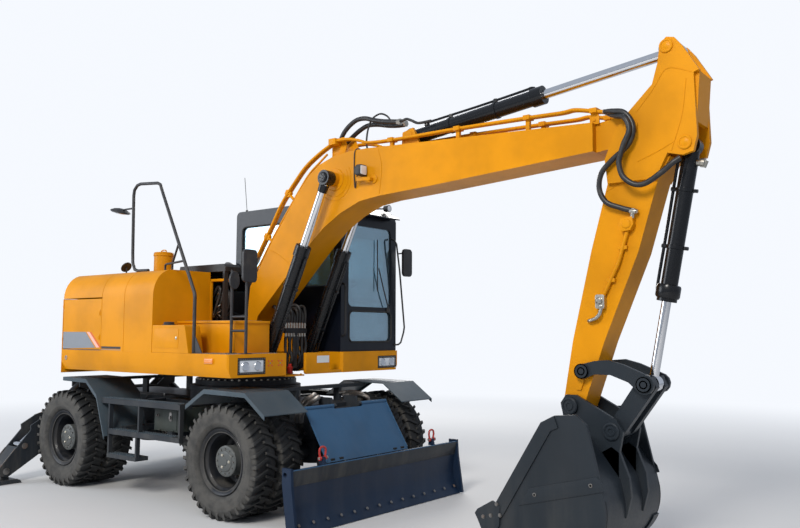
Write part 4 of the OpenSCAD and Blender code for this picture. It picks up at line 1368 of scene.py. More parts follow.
@dataclass
class BladeGear:
    """What the blade, its cover and the stabilisers carry."""

    repeater: Repeater
    pin: tuple[float, float] = (1945.0, 598.0)
    lug_y: float = 815.0
    half_w: float = HALF_W

    def shackles(self) -> None:
        """Hangs a red shackle in each lug on the blade."""
        bow, pin = Shell(), Shell()
        x, z = self.pin
        for side in SIDES:
            y = side * self.lug_y
            ears = [(x, y - 32, z), (x, y - 35, z + 26)]
            loop = [(x, y + 42 * math.cos(a), z + 62 + 36 * math.sin(a)) for a in
                    (math.radians(d) for d in (195, 150, 120, 90, 60, 30, -15))]
            bow.bent([*ears, *loop, (x, y + 35, z + 26), (x, y + 32, z)], 10, 12, 4)
            for shift in (-32, 32):
                bow.rod((x, y + shift - 9, z), (x, y + shift + 9, z), 19, 20)
            pin.rod((x, y - 46, z), (x, y + 52, z), 11.5, 20)
            pin.spun(capped(19, 0, 12, 15, 15), (x, y + 46, z), (0, 1, 0), 6)
        bow.piece("shackles", "red_enamel", "blade", smooth=50)
        pin.piece("shackle_pins", "plated_steel", "blade", smooth=30)

    def face(self) -> None:
        """Gives the blade a painted highlight on its top edge, as a strip in the cover's paler blue, its upper wear
        band and the cutting edge's bolts.
        """
        band = Shell().prism(((1986.5, 538), (1990, 532), (1966, 418), (1958, 402), (1953.5, 402)), Plane.XZ,
                             -self.half_w + 30, self.half_w - 30)
        band.piece("blade_band", "carrier_enamel", "blade", 1.0)
        # Painted highlight: a strip of the cover's paler blue along the blade's top edge, where light falls on it
        top = Shell().prism(((1950, 529), (1950, 536), (1984, 545), (1988, 538)), Plane.XZ,
                            -self.half_w + 29, self.half_w - 29)
        top.piece("blade_top_edge", "cover_enamel", "blade", 1.5)
        bolt = plain(Shell().spun(capped(15, -1, 3, 11, 6), (0, 0, 0), (0, 0, 1), 8), "edge_bolt")
        along = Vector((2044 - 1966, 0, 14 - 146)).normalized()
        facing = Vector((-along.z, 0, along.x))
        place = looking((2000, -1150, 84), facing, (0, 1, 0))
        self.repeater.stepped(bolt, "edge_bolts", "worn_steel", "blade", [place], 14, step=(2.3 / 13, 0, 0))

    def cover(self) -> None:
        """Puts rubber rests on the cover's lower edge and a rolled edge down its sides."""
        rest, trim = Shell(), Shell()
        for y in (-520, -400, 400, 520):
            rest.box((1776, y - 26, 500), (1800, y + 26, 545))
        for side in SIDES:
            line = [(1512, side * 597, 976), (1795, side * 597, 532)]
            trim.tube(line, 9, 8)
        rest.piece("cover_rests", "seal_rubber", "blade_cover_body", 3)
        trim.piece("cover_trim", "cover_enamel", "blade_cover_body")

    def stabilisers(self) -> None:
        """Adds pins' heads, cylinder hoses and grips on the feet to both stabilisers."""
        x = -2310
        grip = plain(Shell().box((-8, -120, -0.5), (8, 120, 7)), "grip", 2)
        for side, word in SIDE_WORDS:
            leg, chassis = Shell(), Shell()
            for end in (-1, 1):
                leg.spun(capped(38, -6, 9, 28, 13), (x + end * 120, side * 1560, 140), (end, 0, 0), 28)
                leg.spun(capped(34, -6, 9, 26, 12), (x + end * 120, side * 1360, 400), (end, 0, 0), 28)
                chassis.spun(capped(58, -4, 8, 44, 12), (x + end * 120, side * 500, 780), (end, 0, 0), 28)
                chassis.bolt((x + end * 130, side * 528, 780), (end, 0, 0), 8, 9)
                for edge in (((540, 892), (1140, 714)), ((1466, 376), (1642, 170))):
                    (y0, z0), (y1, z1) = edge
                    leg.tube([(x + end * 110, side * y0, z0), (x + end * 110, side * y1, z1)], 5, 8)
            leg.piece(f"stabiliser_pins_{word}", "worn_steel", f"stabiliser_leg_{word}_body", smooth=30)
            chassis.piece(f"stabiliser_pivots_{word}", "worn_steel", "chassis", smooth=30)
            hose = Shell()
            for shift in (-18, 18):
                hose.bent([(x + shift, side * 250, 962), (x + shift, side * 330, 1062),
                           (x + shift, side * 430, 1118), (x + shift, side * 500, 1096),
                           (x + shift, side * 520, 1050)], 9, 10)
            hose.piece(f"stabiliser_hoses_{word}", "hose_rubber", "chassis")
            self.repeater.stepped(grip, f"foot_grips_{word}", "worn_steel", f"stabiliser_foot_{word}_body",
                                  [level(x - 150, side * 1560, 39.5)], 2, step=(0.3, 0, 0))

    def build(self) -> None:
        """Makes all of them."""
        self.shackles()
        self.face()
        self.cover()
        self.stabilisers()
        LOG.info("blade and stabilisers")


@dataclass
class Bodywork:
    """Panels' trim, markers, latches and the platform of the upper body."""

    repeater: Repeater
    side_y: float = -HALF_W
    deck_x1: float = DECK_FRONT

    def stripes(self) -> None:
        """Lays the blank grey strip with its bright stripes on the engine's door."""
        y0, y1 = self.side_y + 1.0, self.side_y - 0.9
        strips = (
            ("strip_grey", ((-1655, 1694), (-1203, 1694), (-1008, 1527), (-1655, 1509))),
            ("strip_pale", ((-1180, 1694), (-1126, 1694), (-930, 1531), (-984, 1528))),
            ("strip_red", ((-1112, 1694), (-1094, 1694), (-908, 1540), (-908, 1531), (-918, 1530))),
        )
        for name, outline in strips:
            Shell().prism(outline, Plane.XZ, y0, y1).piece(name, name, "door_right")

    def side_fittings(self) -> None:
        """Adds latches, markers, a pale line along the panels' lower edges that is a painted highlight, and a black
        sheet behind the vent that is painted shade.
        """
        latch, lens, base, sill = Shell(), Shell(), Shell(), Shell()
        for side in SIDES:
            y = side * HALF_W
            base.prism(rounded((828, 1400), (968, 1461), 12), Plane.XZ, y - side, y + side * 4)
            lens.prism(rounded((836, 1407), (960, 1453), 10), Plane.XZ, y + side * 3, y + side * 13)
        lens.piece("side_markers", "amber_lens", "upper", 4, segments=3)
        base.piece("marker_frames", "orange_enamel", "upper", 1.5)
        for z in (1640, 1900):
            latch.prism(rounded((-948, z - 34), (-924, z + 34), 10), Plane.XZ, self.side_y + 1, self.side_y - 5)
            latch.prism(rounded((-942, z - 22), (-930, z + 16), 5), Plane.XZ, self.side_y - 4, self.side_y - 9)
        latch.piece("door_latches", "orange_enamel", "door_right", 1.5)
        # Painted highlight: a pale grey line along the lower edges of the door and of the vent's panel, where light
        # falls on the ledge
        sill.box((-896, self.side_y - 2, 1506), (-535, self.side_y + 1, 1512))
        sill.box((-1655, self.side_y - 2, 1500), (-912, self.side_y + 1, 1504))
        sill.piece("sill_line", "pale_panel", "upper", 0.5)
        # Painted shade: a black sheet at the back of the shallow vent recess stands in for the shade inside the slot
        mesh = Shell().box((-893, self.side_y + 4, 1519), (-538, self.side_y + 6.5, 1542))
        mesh.piece("vent_mesh", "black_plastic", "upper")
        ring = Shell().spun(((24, -1), (24, 3), (19, 5), (14, 3), (14, -1)), (-1579, self.side_y, 1409),
                            (0, -1, 0), 28)
        ring.piece("lashing_ring", "strip_grey", "upper", smooth=30)

    def deck_front(self) -> None:
        """Closes the deck's front beside the bay and adds the reflector dots and the blank plates."""
        x = self.deck_x1
        plate = Shell().prism(((-242, 1300), (-226, 1281), (290, 1281), (290, 1300), (262, 1312), (124, 1312),
                               (102, 1334), (102, 1494.6), (-242, 1494.6)), Plane.YZ, x - 34, x - 0.4)
        plate.piece("deck_crossplate", "orange_enamel", "upper", 3)
        label = Shell().prism(rounded((-84, 1390), (96, 1462), 6), Plane.YZ, x - 0.5, x + 0.8)
        label.piece("blank_plate", "white_plate", "upper")
        dot = plain(Shell().spun(((8.5, -1), (8.5, 1.2), (0.1, 1.6)), (0, 0, 0), (0, 0, 1), 12), "dot")
        dot.transform(Matrix.Translation((0.030, 0, 0)))
        places = [looking((x, y, 1404), (1, 0, 0), (0, 0.7071, 0.7071)) for y in (-724, -594)]
        self.repeater.stepped(dot, "deck_dots", "strip_red", "upper", places, 4, turn=math.tau / 4)
        hub = plain(Shell().spun(((7, -1), (7, 1.2), (0.1, 1.6)), (0, 0, 0), (0, 0, 1), 12), "hub_dot")
        self.repeater.stepped(hub, "deck_dot_centres", "strip_grey", "upper", places, 1)

    def headlamps(self) -> None:
        """Fits dotted gaskets, reflectors and lenses to the headlamps."""
        stud = plain(Shell().spun(((5, -1), (5, 3), (0.1, 4)), (0, 0, 0), (0, 0, 1), 8), "stud")
        lens, frame = Shell(), Shell()
        for n, (y0, y1, z0, z1) in enumerate(HEADLAMPS):
            x = self.deck_x1 - 3.5
            outer = rounded((y0 + 4, z0 + 4), (y1 - 4, z1 - 4), 10)
            inner = rounded((y0 + 26, z0 + 24), (y1 - 26, z1 - 24), 8)
            frame.ring_plate(outer, inner, Plane.YZ, x - 4, x + 2)
            lens.prism(inner, Plane.YZ, x - 10, x - 2)
            width, height = y1 - y0, z1 - z0
            rows = [looking((x + 1, y0 + 15, z), (1, 0, 0), (0, 1, 0)) for z in (z0 + 14, z1 - 14)]
            self.repeater.stepped(stud, f"lamp_studs_{n}_rows", "pale_panel", "upper", rows, 13,
                                  step=((width - 30) / 12000, 0, 0))
            ends = [looking((x + 1, y, z0 + 14), (1, 0, 0), (0, 0, 1)) for y in (y0 + 15, y1 - 15)]
            self.repeater.stepped(stud, f"lamp_studs_{n}_ends", "pale_panel", "upper", ends, 6,
                                  step=((height - 28) / 5000, 0, 0))
        frame.piece("lamp_gaskets", "seal_rubber", "upper", 1)
        lens.piece("lamp_lenses", "clear_lens", "upper", 2)
        bowl = Shell()
        for y, z in ((-954, 1382), (1052, 1372)):
            for shift in (-76, 76):
                bowl.spun(((44, 0), (42, 3), (30, -10), (14, -16), (8, -16), (8, -4), (0.1, -3)),
                          (self.deck_x1 - 1.5, y + shift, z), (1, 0, 0), 32)
        bowl.piece("lamp_bowls", "mirror_glass", "upper", smooth=60)
        work, glow = Shell(), Shell()
        for y in ROOF_LAMPS_Y:
            work.spun(((34, -30), (40, -10), (40, 4), (36, 6), (34, 1)), (1122, y, 3126), (1, 0, 0), 32)
            glow.spun(((34, -1), (34, 3), (20, 6), (0.1, 7)), (1123, y, 3126), (1, 0, 0), 32)
        work.piece("roof_lamp_rims", "black_plastic", "upper", smooth=50)
        glow.piece("roof_lamp_lenses", "clear_lens", "upper", smooth=60)

    def roof(self) -> None:
        """Puts the mirror, the filler's cap, vents and the silencer's tail on the hood."""
        cap = Shell().spun(((102, 0), (104, 6), (104, 18), (96, 24), (40, 26), (34, 34), (0.1, 34)),
                           (-460, -800, 2528), (0, 0, 1), 48)
        cap.bent([(-500, -800, 2558), (-500, -800, 2572), (-460, -800, 2580), (-420, -800, 2572),
                  (-420, -800, 2558)], 6, 8, 4)
        cap.piece("filler_cap", "orange_enamel", "upper", smooth=30)
        disc, stalk = Shell(), Shell()
        disc.spun(((62, 0), (64, 6), (52, 16), (0.1, 20)), (-1150, -800, 2424), (-0.5, 0, 0.35), 32)
        stalk.bent([(-1150, -800, 2336), (-1150, -800, 2380), (-1146, -800, 2424)], 8, 8, 4)
        stalk.piece("lid_mirror_stalk", "black_plastic", "lid")
        disc.piece("lid_mirror", "black_plastic", "lid", smooth=50)
        pipe = Shell().bent([(-560, 240, 2330), (-560, 240, 2420), (-572, 240, 2462),
                             (-622, 240, 2486), (-660, 240, 2490)], 42, 24, 5)
        pipe.spun(((58, 0), (58, 6), (44, 10)), (-560, 240, 2334), (0, 0, 1), 32)
        pipe.piece("exhaust_tail", "worn_steel", "upper", smooth=50)
        slat = plain(Shell().prism(((-16, 0), (16, 0), (12, 9), (-4, 12)), Plane.XZ, -260, 260), "slat", 1.5)
        places = [level(-1590, y, 2334.4) for y in (-560, 560)]
        self.repeater.stepped(slat, "lid_louvres", "orange_enamel", "lid", places, 10, step=(0.058, 0, 0))
        handle = Shell()
        for y in (-330, 330):
            handle.bent([(-1660, y - 60, 2180), (-1688, y - 52, 2180), (-1690, y, 2180),
                         (-1688, y + 52, 2180), (-1660, y + 60, 2180)], 8, 8, 4)
        handle.piece("lid_handles", "black_plastic", "lid")

    def platform(self) -> None:
        """Covers the platform before the tank with grip dots and fits the tank's cap and latch."""
        dot = plain(Shell().spun(((9, -0.5), (7, 3.5), (0.1, 4)), (0, 0, 0), (0, 0, 1), 8), "grip_dot")
        # name, first dot's x, y and z, rows, dots in a row
        for name, x, y, z, rows, count in (("platform_grip", 640, -1195, DECK_TOP, 7, 14),
                                           ("platform_grip_front", 940, -930, DECK_TOP, 11, 5),
                                           ("tank_grip", 60, -880, 1810, 10, 22)):
            places = [level(x + 18 * (j % 2), y + 36 * j, z) for j in range(rows)]
            self.repeater.stepped(dot, name, "worn_steel", "upper", places, count, step=(0.036, 0, 0))
        cap = Shell().spun(((52, 0), (52, 26), (46, 32), (20, 34), (0.1, 34)),
                           (160, -1160, 1764.5), (0, 0, 1), 36)
        cap.spun(((66, 0), (66, 6), (50, 8)), (160, -1160, 1764.5), (0, 0, 1), 36)
        cap.piece("tank_cap", "black_plastic", "upper", smooth=30)
        lid = Shell().prism(rounded((40, 1540), (430, 1730), 18), Plane.XZ, self.side_y + 1, self.side_y - 3)
        lid.piece("box_lid", "orange_enamel", "upper", 1.5)
        lock = Shell().spun(capped(14, 0, 5, 5, 6), (400, self.side_y - 2.5, 1640), (0, -1, 0), 20)
        lock.piece("box_lock", "plated_steel", "upper", smooth=30)

    @staticmethod
    def tail_x(y: float) -> float:
        """Where the counterweight's round back lies at a place across it."""
        return -math.sqrt(TAIL_R ** 2 - y * y)

    def tail(self) -> None:
        """Fits lamps, lifting eyes and bolts to the counterweight."""
        for name, finish, shift in (("red", "red_lens", -58), ("amber", "amber_lens", 58)):
            lens = Shell()
            for side in SIDES:
                y = side * (930 + shift)
                x = self.tail_x(y)
                lens.prism(rounded((y - 52, 1402), (y + 52, 1478), 12), Plane.YZ, x - 9, x + 30)
            lens.piece(f"tail_lamp_{name}", finish, "upper", 4, segments=3)
        frame = Shell()
        for side in SIDES:
            y = side * 930
            x = self.tail_x(abs(y) - 115)
            frame.prism(rounded((y - 122, 1390), (y + 122, 1490), 16), Plane.YZ, x - 1, x + 60)
        frame.piece("tail_lamp_frames", "black_plastic", "upper", 3)
        eye = Shell()
        for y in (-620, 620):
            eye.bent([(-1800, y - 55, 2054), (-1800, y - 50, 2100), (-1800, y, 2122),
                      (-1800, y + 50, 2100), (-1800, y + 55, 2054)], 16, 12, 4)
        eye.piece("lifting_eyes", "orange_enamel", "upper")
        seam = Shell()
        for y in (-1100, 1100):
            foot = (self.tail_x(y) + 2, y, 1900)
            seam.spun(capped(30, 0, 4, 20, 6), foot, (-1, 0, 0), 6)
        seam.piece("weight_bolts", "orange_enamel", "upper", smooth=30)

    def build(self) -> None:
        """Makes all of them."""
        self.stripes()
        self.side_fittings()
        self.deck_front()
        self.headlamps()
        self.roof()
        self.platform()
        self.tail()
        LOG.info("bodywork")


@dataclass
class Bay:
    """Hoses, fittings and pipes in the open bay, in front of the boom's foot and behind it."""

    ports: int = 8
    pitch: float = 39.0

    def manifold(self) -> None:
        """Stands the hose manifold before the boom's foot."""
        block, hose, fitting, loops = Shell(), Shell(), Shell(), Shell()
        block.box((836, -250, 1690), (872, 60, 1742))
        block.box((846, -120, 1497), (866, -70, 1692))
        block.box((846, -120, 1330), (862, -70, 1500))
        for i in range(self.ports):
            y = -232 + self.pitch * i
            fitting.spun(((13, 0), (13, 26), (16, 28), (16, 44), (12, 46), (12, 60)),
                         (854, y, 1741), (0, 0, 1), 6)
            fitting.spun(((13, 0), (13, 20), (16, 22), (16, 36)), (854, y, 1691), (0, 0, -1), 6)
            wave = 14 * math.sin(2.1 * i)
            hose.bent([(854, y, 1662), (850 + wave, y + wave, 1560), (856 - wave, y, 1440),
                       (830, y + 0.3 * wave, 1350), (760, y * 0.8 - 20, 1300)], 15, 10)
            top = 1880 + 26 * (i % 3) + 8 * i
            loops.bent([(854, y, 1798), (858, y, top - 40), (800, y + wave, top + 14),
                        (690, y * 0.7 - 30 + wave, top - 20), (620, y * 0.5 - 50, 1960),
                        (560, y * 0.5 - 50, 1975)], 15, 10)
        block.piece("hose_manifold", "valve_enamel", "upper", 3)
        hose.piece("bay_hoses", "hose_rubber", "upper")
        span(loops, "boom_loops", (854, -100, 1800), (600, -100, 1960))
        fitting.piece("hose_fittings", "plated_steel", "upper", smooth=30)

    def valve_side(self) -> None:
        """Fills the opening beside the boom with spiral-wrapped hoses and fittings, and its orange beam."""
        hose, pale, beam = Shell(), Shell(), Shell()
        for i, (y, z, lift) in enumerate(((-470, 1840, 300), (-440, 1850, 250), (-410, 1840, 330), (-380, 1850, 210),
                                          (-350, 1830, 280), (-320, 1840, 180))):
            hose.bent([(-30, y, z), (40 + 12 * i, y, z + 0.5 * lift), (90, y + 5, z + lift),
                       (40, y + 10, z + lift + 40), (-40, y + 14, z + lift - 60)], 14, 10)
            pale.spun(((17, 0), (17, 24), (20, 26), (20, 40), (15, 42), (15, 58)),
                      (-20, y, z + 20), (0.3, 0, 1), 6)
        turn = [(52 + 19 * math.cos(k / 2.0), -446 + 19 * math.sin(k / 2.0), 1850 + 5.5 * k) for k in range(58)]
        pale.tube(turn, 6, 8)
        hose.piece("side_hoses", "hose_rubber", "upper")
        pale.piece("side_fittings", "plated_steel", "upper", smooth=40)
        beam.box((-20, -528, 2236), (210, -330, 2262))
        beam.box((-20, -528, 1812), (8, -500, 2262))
        beam.piece("opening_beam", "orange_enamel", "upper", 3)

    def red_fitting(self) -> None:
        """Bolts the red fitting and its plate in the bay's floor."""
        fit = Shell().spun(((34, 0), (34, 10), (26, 12), (26, 50), (30, 52), (30, 66), (18, 70), (18, 96)),
                           (960, -268, 1284), (0, 0, 1), 24)
        fit.piece("swivel_fitting", "red_enamel", "upper", smooth=30)
        floor = Shell().box((880, -489, 1264), (1120, -222, 1278))
        for x in (910, 1090):
            for y in (-460, -240):
                floor.bolt((x, y, 1278), (0, 0, 1), 9, 9)
        floor.piece("bay_floor", "orange_enamel", "upper", 2)

    def build(self) -> None:
        """Makes all of them."""
        self.manifold()
        self.valve_side()
        self.red_fitting()
        LOG.info("bay")


@dataclass
class Boomwork:
    """Pipes, hoses, pins and the lamp on the boom and its cylinders."""

    repeater: Repeater
    boom_y: float = BOOM_Y
    half_w: float = 180.0
    # The pipes' routes along the boom as x and z: up its back, low beside it and along its top
    back = ((420, 2500), (514, 2640), (650, 2838), (784, 3040), (960, 3232), (1130, 3390), (1323, 3502), (1480, 3570))
    low = ((392, 2350), (470, 2440), (690, 2738), (1030, 3152), (1176, 3312), (1320, 3412), (1420, 3480))
    top = ((1560, 3600), (1718, 3592), (1850, 3559), (1980, 3521), (2362, 3505), (3000, 3500), (3700, 3484),
           (4008, 3474), (4126, 3479), (4275, 3446), (4386, 3419))

    across = (BOOM_Y - 152, BOOM_Y - 116, BOOM_Y + 116, BOOM_Y + 152)

    def steel_pipes(self) -> None:
        """Lays the steel pipes and their clamps."""
        pipe = Shell()
        for y in self.across:
            pipe.bent([(x, y, z) for x, z in self.top], 14, 12, 5)
            pipe.bent([(x, y, z) for x, z in self.back], 14, 12, 5)
        for y in (self.boom_y - 140, self.boom_y + 140):
            pipe.bent([(x, y, z) for x, z in self.low], 11, 10, 5)
        pipe.piece("boom_pipes", "boom_enamel", "boom_body")
        clamp, block = Shell(), Shell()
        for side in SIDES:
            y = self.boom_y + side * 134
            for x, roof, z in ((2250, 3446, 3508), (3000, 3410, 3500), (3700, 3373, 3484)):
                clamp.box((x - 30, y - 42, z - 19), (x + 30, y + 42, z + 19))
                clamp.box((x - 18, y - 16, roof - 4), (x + 18, y + 16, z - 12))
                clamp.bolt((x, y, z + 19), (0, 0, 1), 8, 9)
            for (x, z), (fx, fz) in (((560, 2708), (640, 2650)), ((870, 3140), (944, 3072))):
                way = Vector((fx - x, 0, fz - z)).normalized()
                clamp.rod((x, y, z), (fx, y, fz), 15, 12)
                clamp.spun(((26, -24), (30, -20), (30, 20), (26, 24)), Vector((x, y, z)), way, 4)
                clamp.spun(((46, -18), (46, 18)), Vector((x, y, z)), (0, 1, 0), 6)
            block.prism(((1440, 3412), (1600, 3445), (1640, 3560), (1600, 3640), (1500, 3640), (1440, 3560)),
                        Plane.XZ, y - side * 50, y - side * 44)
            block.box((1470, y - 46, 3560), (1560, y + 46, 3622))
            block.prism(((4250, 3340), (4330, 3338), (4330, 3400), (4300, 3450), (4270, 3450), (4250, 3400)),
                        Plane.XZ, y - 6, y + 6)
            block.box((4262, y - 44, 3424), (4322, y + 44, 3462))
            block.bolt((4290, y - 6, 3370), (0, -1, 0), 9, 10)
        clamp.piece("pipe_clamps", "boom_enamel", "boom_body", 2)
        block.piece("pipe_blocks", "boom_enamel", "boom_body", 2)

    def foot_hoses(self) -> None:
        """Joins the pipes' lower ends to the valves by hoses that follow the boom."""
        hose, nut = Shell(), Shell()
        for i, y in enumerate(self.across):
            nut.spun(((17, -34), (17, 0), (20, 4), (20, 22), (15, 24)), (400, y, 2470), (-0.55, 0, -0.83), 6)
            hose.bent([(404, y, 2476), (352, y, 2398), (296, y * 0.9, 2290), (268, y * 0.8, 2160),
                       (250 - 14 * i, y * 0.72, 2010), (180, y * 0.7, 1900), (70, y * 0.7, 1870),
                       (-30, y * 0.7, 1900)], 16, 12, 8)
        span(hose, "boom_foot_hoses", (150, 0, 1900), (404, 0, 2476))
        nut.piece("boom_foot_nuts", "plated_steel", "boom_body", smooth=30)

    def arm_ram_hoses(self) -> None:
        """Arches the hoses from the clamp block over to the arm cylinder."""
        y = self.boom_y
        hose, nut = Shell(), Shell()
        for shift, route in ((-46, ((1500, 3606), (1560, 3700), (1640, 3764), (1735, 3803), (1840, 3800), (1940, 3768),
                                    (2060, 3736), (2170, 3716), (2262, 3700))),
                             (40, ((1490, 3600), (1570, 3650), (1680, 3712), (1800, 3752), (1930, 3742), (2060, 3712),
                                   (2180, 3694), (2262, 3690)))):
            hose.bent([(x, y + shift, z) for x, z in route], 23, 14, 6)
            nut.spun(((27, 0), (27, 24), (31, 26), (31, 46), (24, 48)), (2240, y + shift, 3702), (1, 0, -0.1), 6)
            nut.spun(((27, 0), (27, 22), (30, 24), (30, 40)), (1486, y + shift, 3590), (0.4, 0, 1), 6)
        hose.bent([(1868, y - 40, 3470), (1850, y - 40, 3560), (1860, y - 30, 3690), (1905, y - 20, 3790),
                   (1995, y - 10, 3828), (2070, y, 3800), (2120, y, 3748)], 9, 10, 6)
        hose.bent([(2290, y - 46, 3700), (2360, y - 60, 3708), (2430, y - 74, 3680),
                   (2520, y - 82, 3640), (2660, y - 78, 3640)], 13, 10, 6)
        hose.piece("arm_cylinder_hoses", "hose_rubber", "boom_body")
        nut.piece("arm_cylinder_nuts", "plated_steel", "boom_body", smooth=30)
        # The cylinder's own port and pipe, which swing with it
        foot, _, way = ram_axis(ARM_RAM, y)
        up = Vector((-way.z, 0, way.x))
        line = [foot + way * d + up * h for d, h in ((150, 66), (150, 96), (230, 100), (700, 92), (1180, 92),
                                                     (1250, 96), (1290, 84))]
        port = Shell().bent(line, 11, 10, 4)
        port.rod(foot + way * 150 + up * 50, foot + way * 150 + up * 104, 26, 20)
        for d in (420, 900):
            port.spun(((69, -14), (75, -12), (75, 12), (69, 14)), foot + way * d, way, 40, loop=True)
            port.rod(foot + way * d + up * 70, foot + way * d + up * 104, 20, 6)
        port.piece("arm_cylinder_pipe", "cylinder_enamel", "arm_barrel_body", smooth=40)

    def lamp(self) -> None:
        """Mounts the work lamp on the boom's side."""
        y = self.boom_y - self.half_w
        case, lens, disc = Shell(), Shell(), Shell()
        case.prism(rounded((-52 - 340, 3184), (52 - 340, 3290), 18), Plane.YZ, 1930, 1984)
        case.prism(rounded((-40 - 340, 3196), (40 - 340, 3278), 14), Plane.YZ, 1906, 1932)
        lens.prism(rounded((-42 - 340, 3194), (42 - 340, 3280), 12), Plane.YZ, 1982, 1990)
        disc.spun(capped(44, -2, 8, 30, 14), (2062, y, 3150), (0, -1, 0), 32)
        disc.prism(((1900, 3140), (2070, 3128), (2070, 3160), (1990, 3168), (1900, 3180)),
                   Plane.XZ, y - 60, y - 66)
        disc.box((2040, y - 62, 3130), (2070, y + 1, 3160))
        case.piece("boom_lamp_case", "black_plastic", "boom_body", 5)
        lens.piece("boom_lamp_lens", "clear_lens", "boom_body", 3)
        disc.piece("boom_lamp_bracket", "boom_enamel", "boom_body", 1.5)
        cable = Shell().bent([(1914, y - 62, 3230), (1870, y - 30, 3150), (1834, y - 8, 3092),
                              (1822, y - 6, 3200), (1820, y - 6, 3330), (1824, y - 4, 3440),
                              (1840, y + 14, 3474), (1866, y + 30, 3472)], 6, 8, 6)
        cable.piece("boom_lamp_cable", "hose_rubber", "boom_body")

    def welds(self) -> None:
        """Draws the welded seams and pin bosses on the boom's sides."""
        bead = Shell()
        for side in SIDES:
            y = self.boom_y + side * (self.half_w + 0.5)
            for line in (((640, 2560), (780, 2500), (960, 2390)), ((2110, 3446), (2160, 3250), (2130, 3000))):
                bead.bent([(x, y, z) for x, z in line], 3.2, 6, 6)
            for radius in (170, 210):
                ring = [(1565 + radius * math.cos(a), y, 3200 + radius * math.sin(a))
                        for a in (math.radians(d) for d in range(-150, 31, 12))]
                bead.tube(ring, 3.0, 6)
        bead.piece("boom_welds", "boom_enamel", "boom_body")
        pins = Shell()
        for side in SIDES:
            y = self.boom_y + side * 350
            pins.spun(((52, -6), (52, 8), (40, 12), (18, 12), (14, 16), (0.1, 16)),
                      (1565, y, 3200), (0, side, 0), 36)
            for angle in range(0, 360, 60):
                a = math.radians(angle)
                pins.bolt((1565 + 34 * math.cos(a), y + side * 11, 3200 + 34 * math.sin(a)), (0, side, 0), 6, 6)
            _, eye, way = ram_axis(BOOM_RAM, self.boom_y + side * RAM_Y)
            pins.spun(((66, -51), (73.5, -51), (74.5, -46), (74.5, 46), (73.5, 51), (66, 51)), eye, (0, 1, 0), 48,
                      loop=True)
            pins.spun(((73, -51.5), (73, -50)), eye, (0, 1, 0), 48)
            pins.spun(((73, 50), (73, 51.5)), eye, (0, 1, 0), 48)
            pins.spun(((41, -150), (46, -146), (52, -72), (41, -70)), eye, way, 32, loop=True)
        pins.piece("boom_ram_caps", "cylinder_enamel", "boom_rods_body", smooth=30)
        foot = Shell()
        for side in SIDES:
            for profile, (x, z), out in ((capped(58, -4, 12, 44, 16), BOOM_FOOT, 240),
                                         (capped(46, -4, 10, 32, 14), BOOM_RAM[0], 362)):
                foot.spun(profile, (x, self.boom_y + side * out, z), (0, side, 0), 36)
        foot.piece("boom_foot_caps", "worn_steel", "upper", smooth=30)

    def cylinder_lines(self) -> None:
        """Clamps pipes and gland bolts to the boom cylinders."""
        pipe, places = Shell(), []
        for side in SIDES:
            base, _, way = ram_axis(BOOM_RAM, self.boom_y + side * RAM_Y)
            front = Vector((way.z, 0, -way.x))
            places.append(looking(base + way * 1290, way))
            line = [base + way * d + front * h for d, h in ((170, 66), (170, 92), (240, 96), (700, 92), (1120, 94),
                                                            (1200, 84))]
            pipe.bent(line, 12, 10, 4)
            for d in (420, 860):
                pipe.spun(((68, -12), (74, -10), (74, 10), (68, 12)), base + way * d, way, 36, loop=True)
                pipe.rod(base + way * d + front * 66, base + way * d + front * 106, 17, 8)
        pipe.piece("boom_cylinder_pipes", "cylinder_enamel", "boom_barrels_body", smooth=40)
        self.repeater.bolt_ring("boom_gland_bolts", "cylinder_enamel", "boom_barrels_body", places, 8, 0.062,
                                (8, 10))

    def build(self) -> None:
        """Makes all of them."""
        self.steel_pipes()
        self.foot_hoses()
        self.arm_ram_hoses()
        self.lamp()
        self.welds()
        self.cylinder_lines()
        LOG.info("boom")


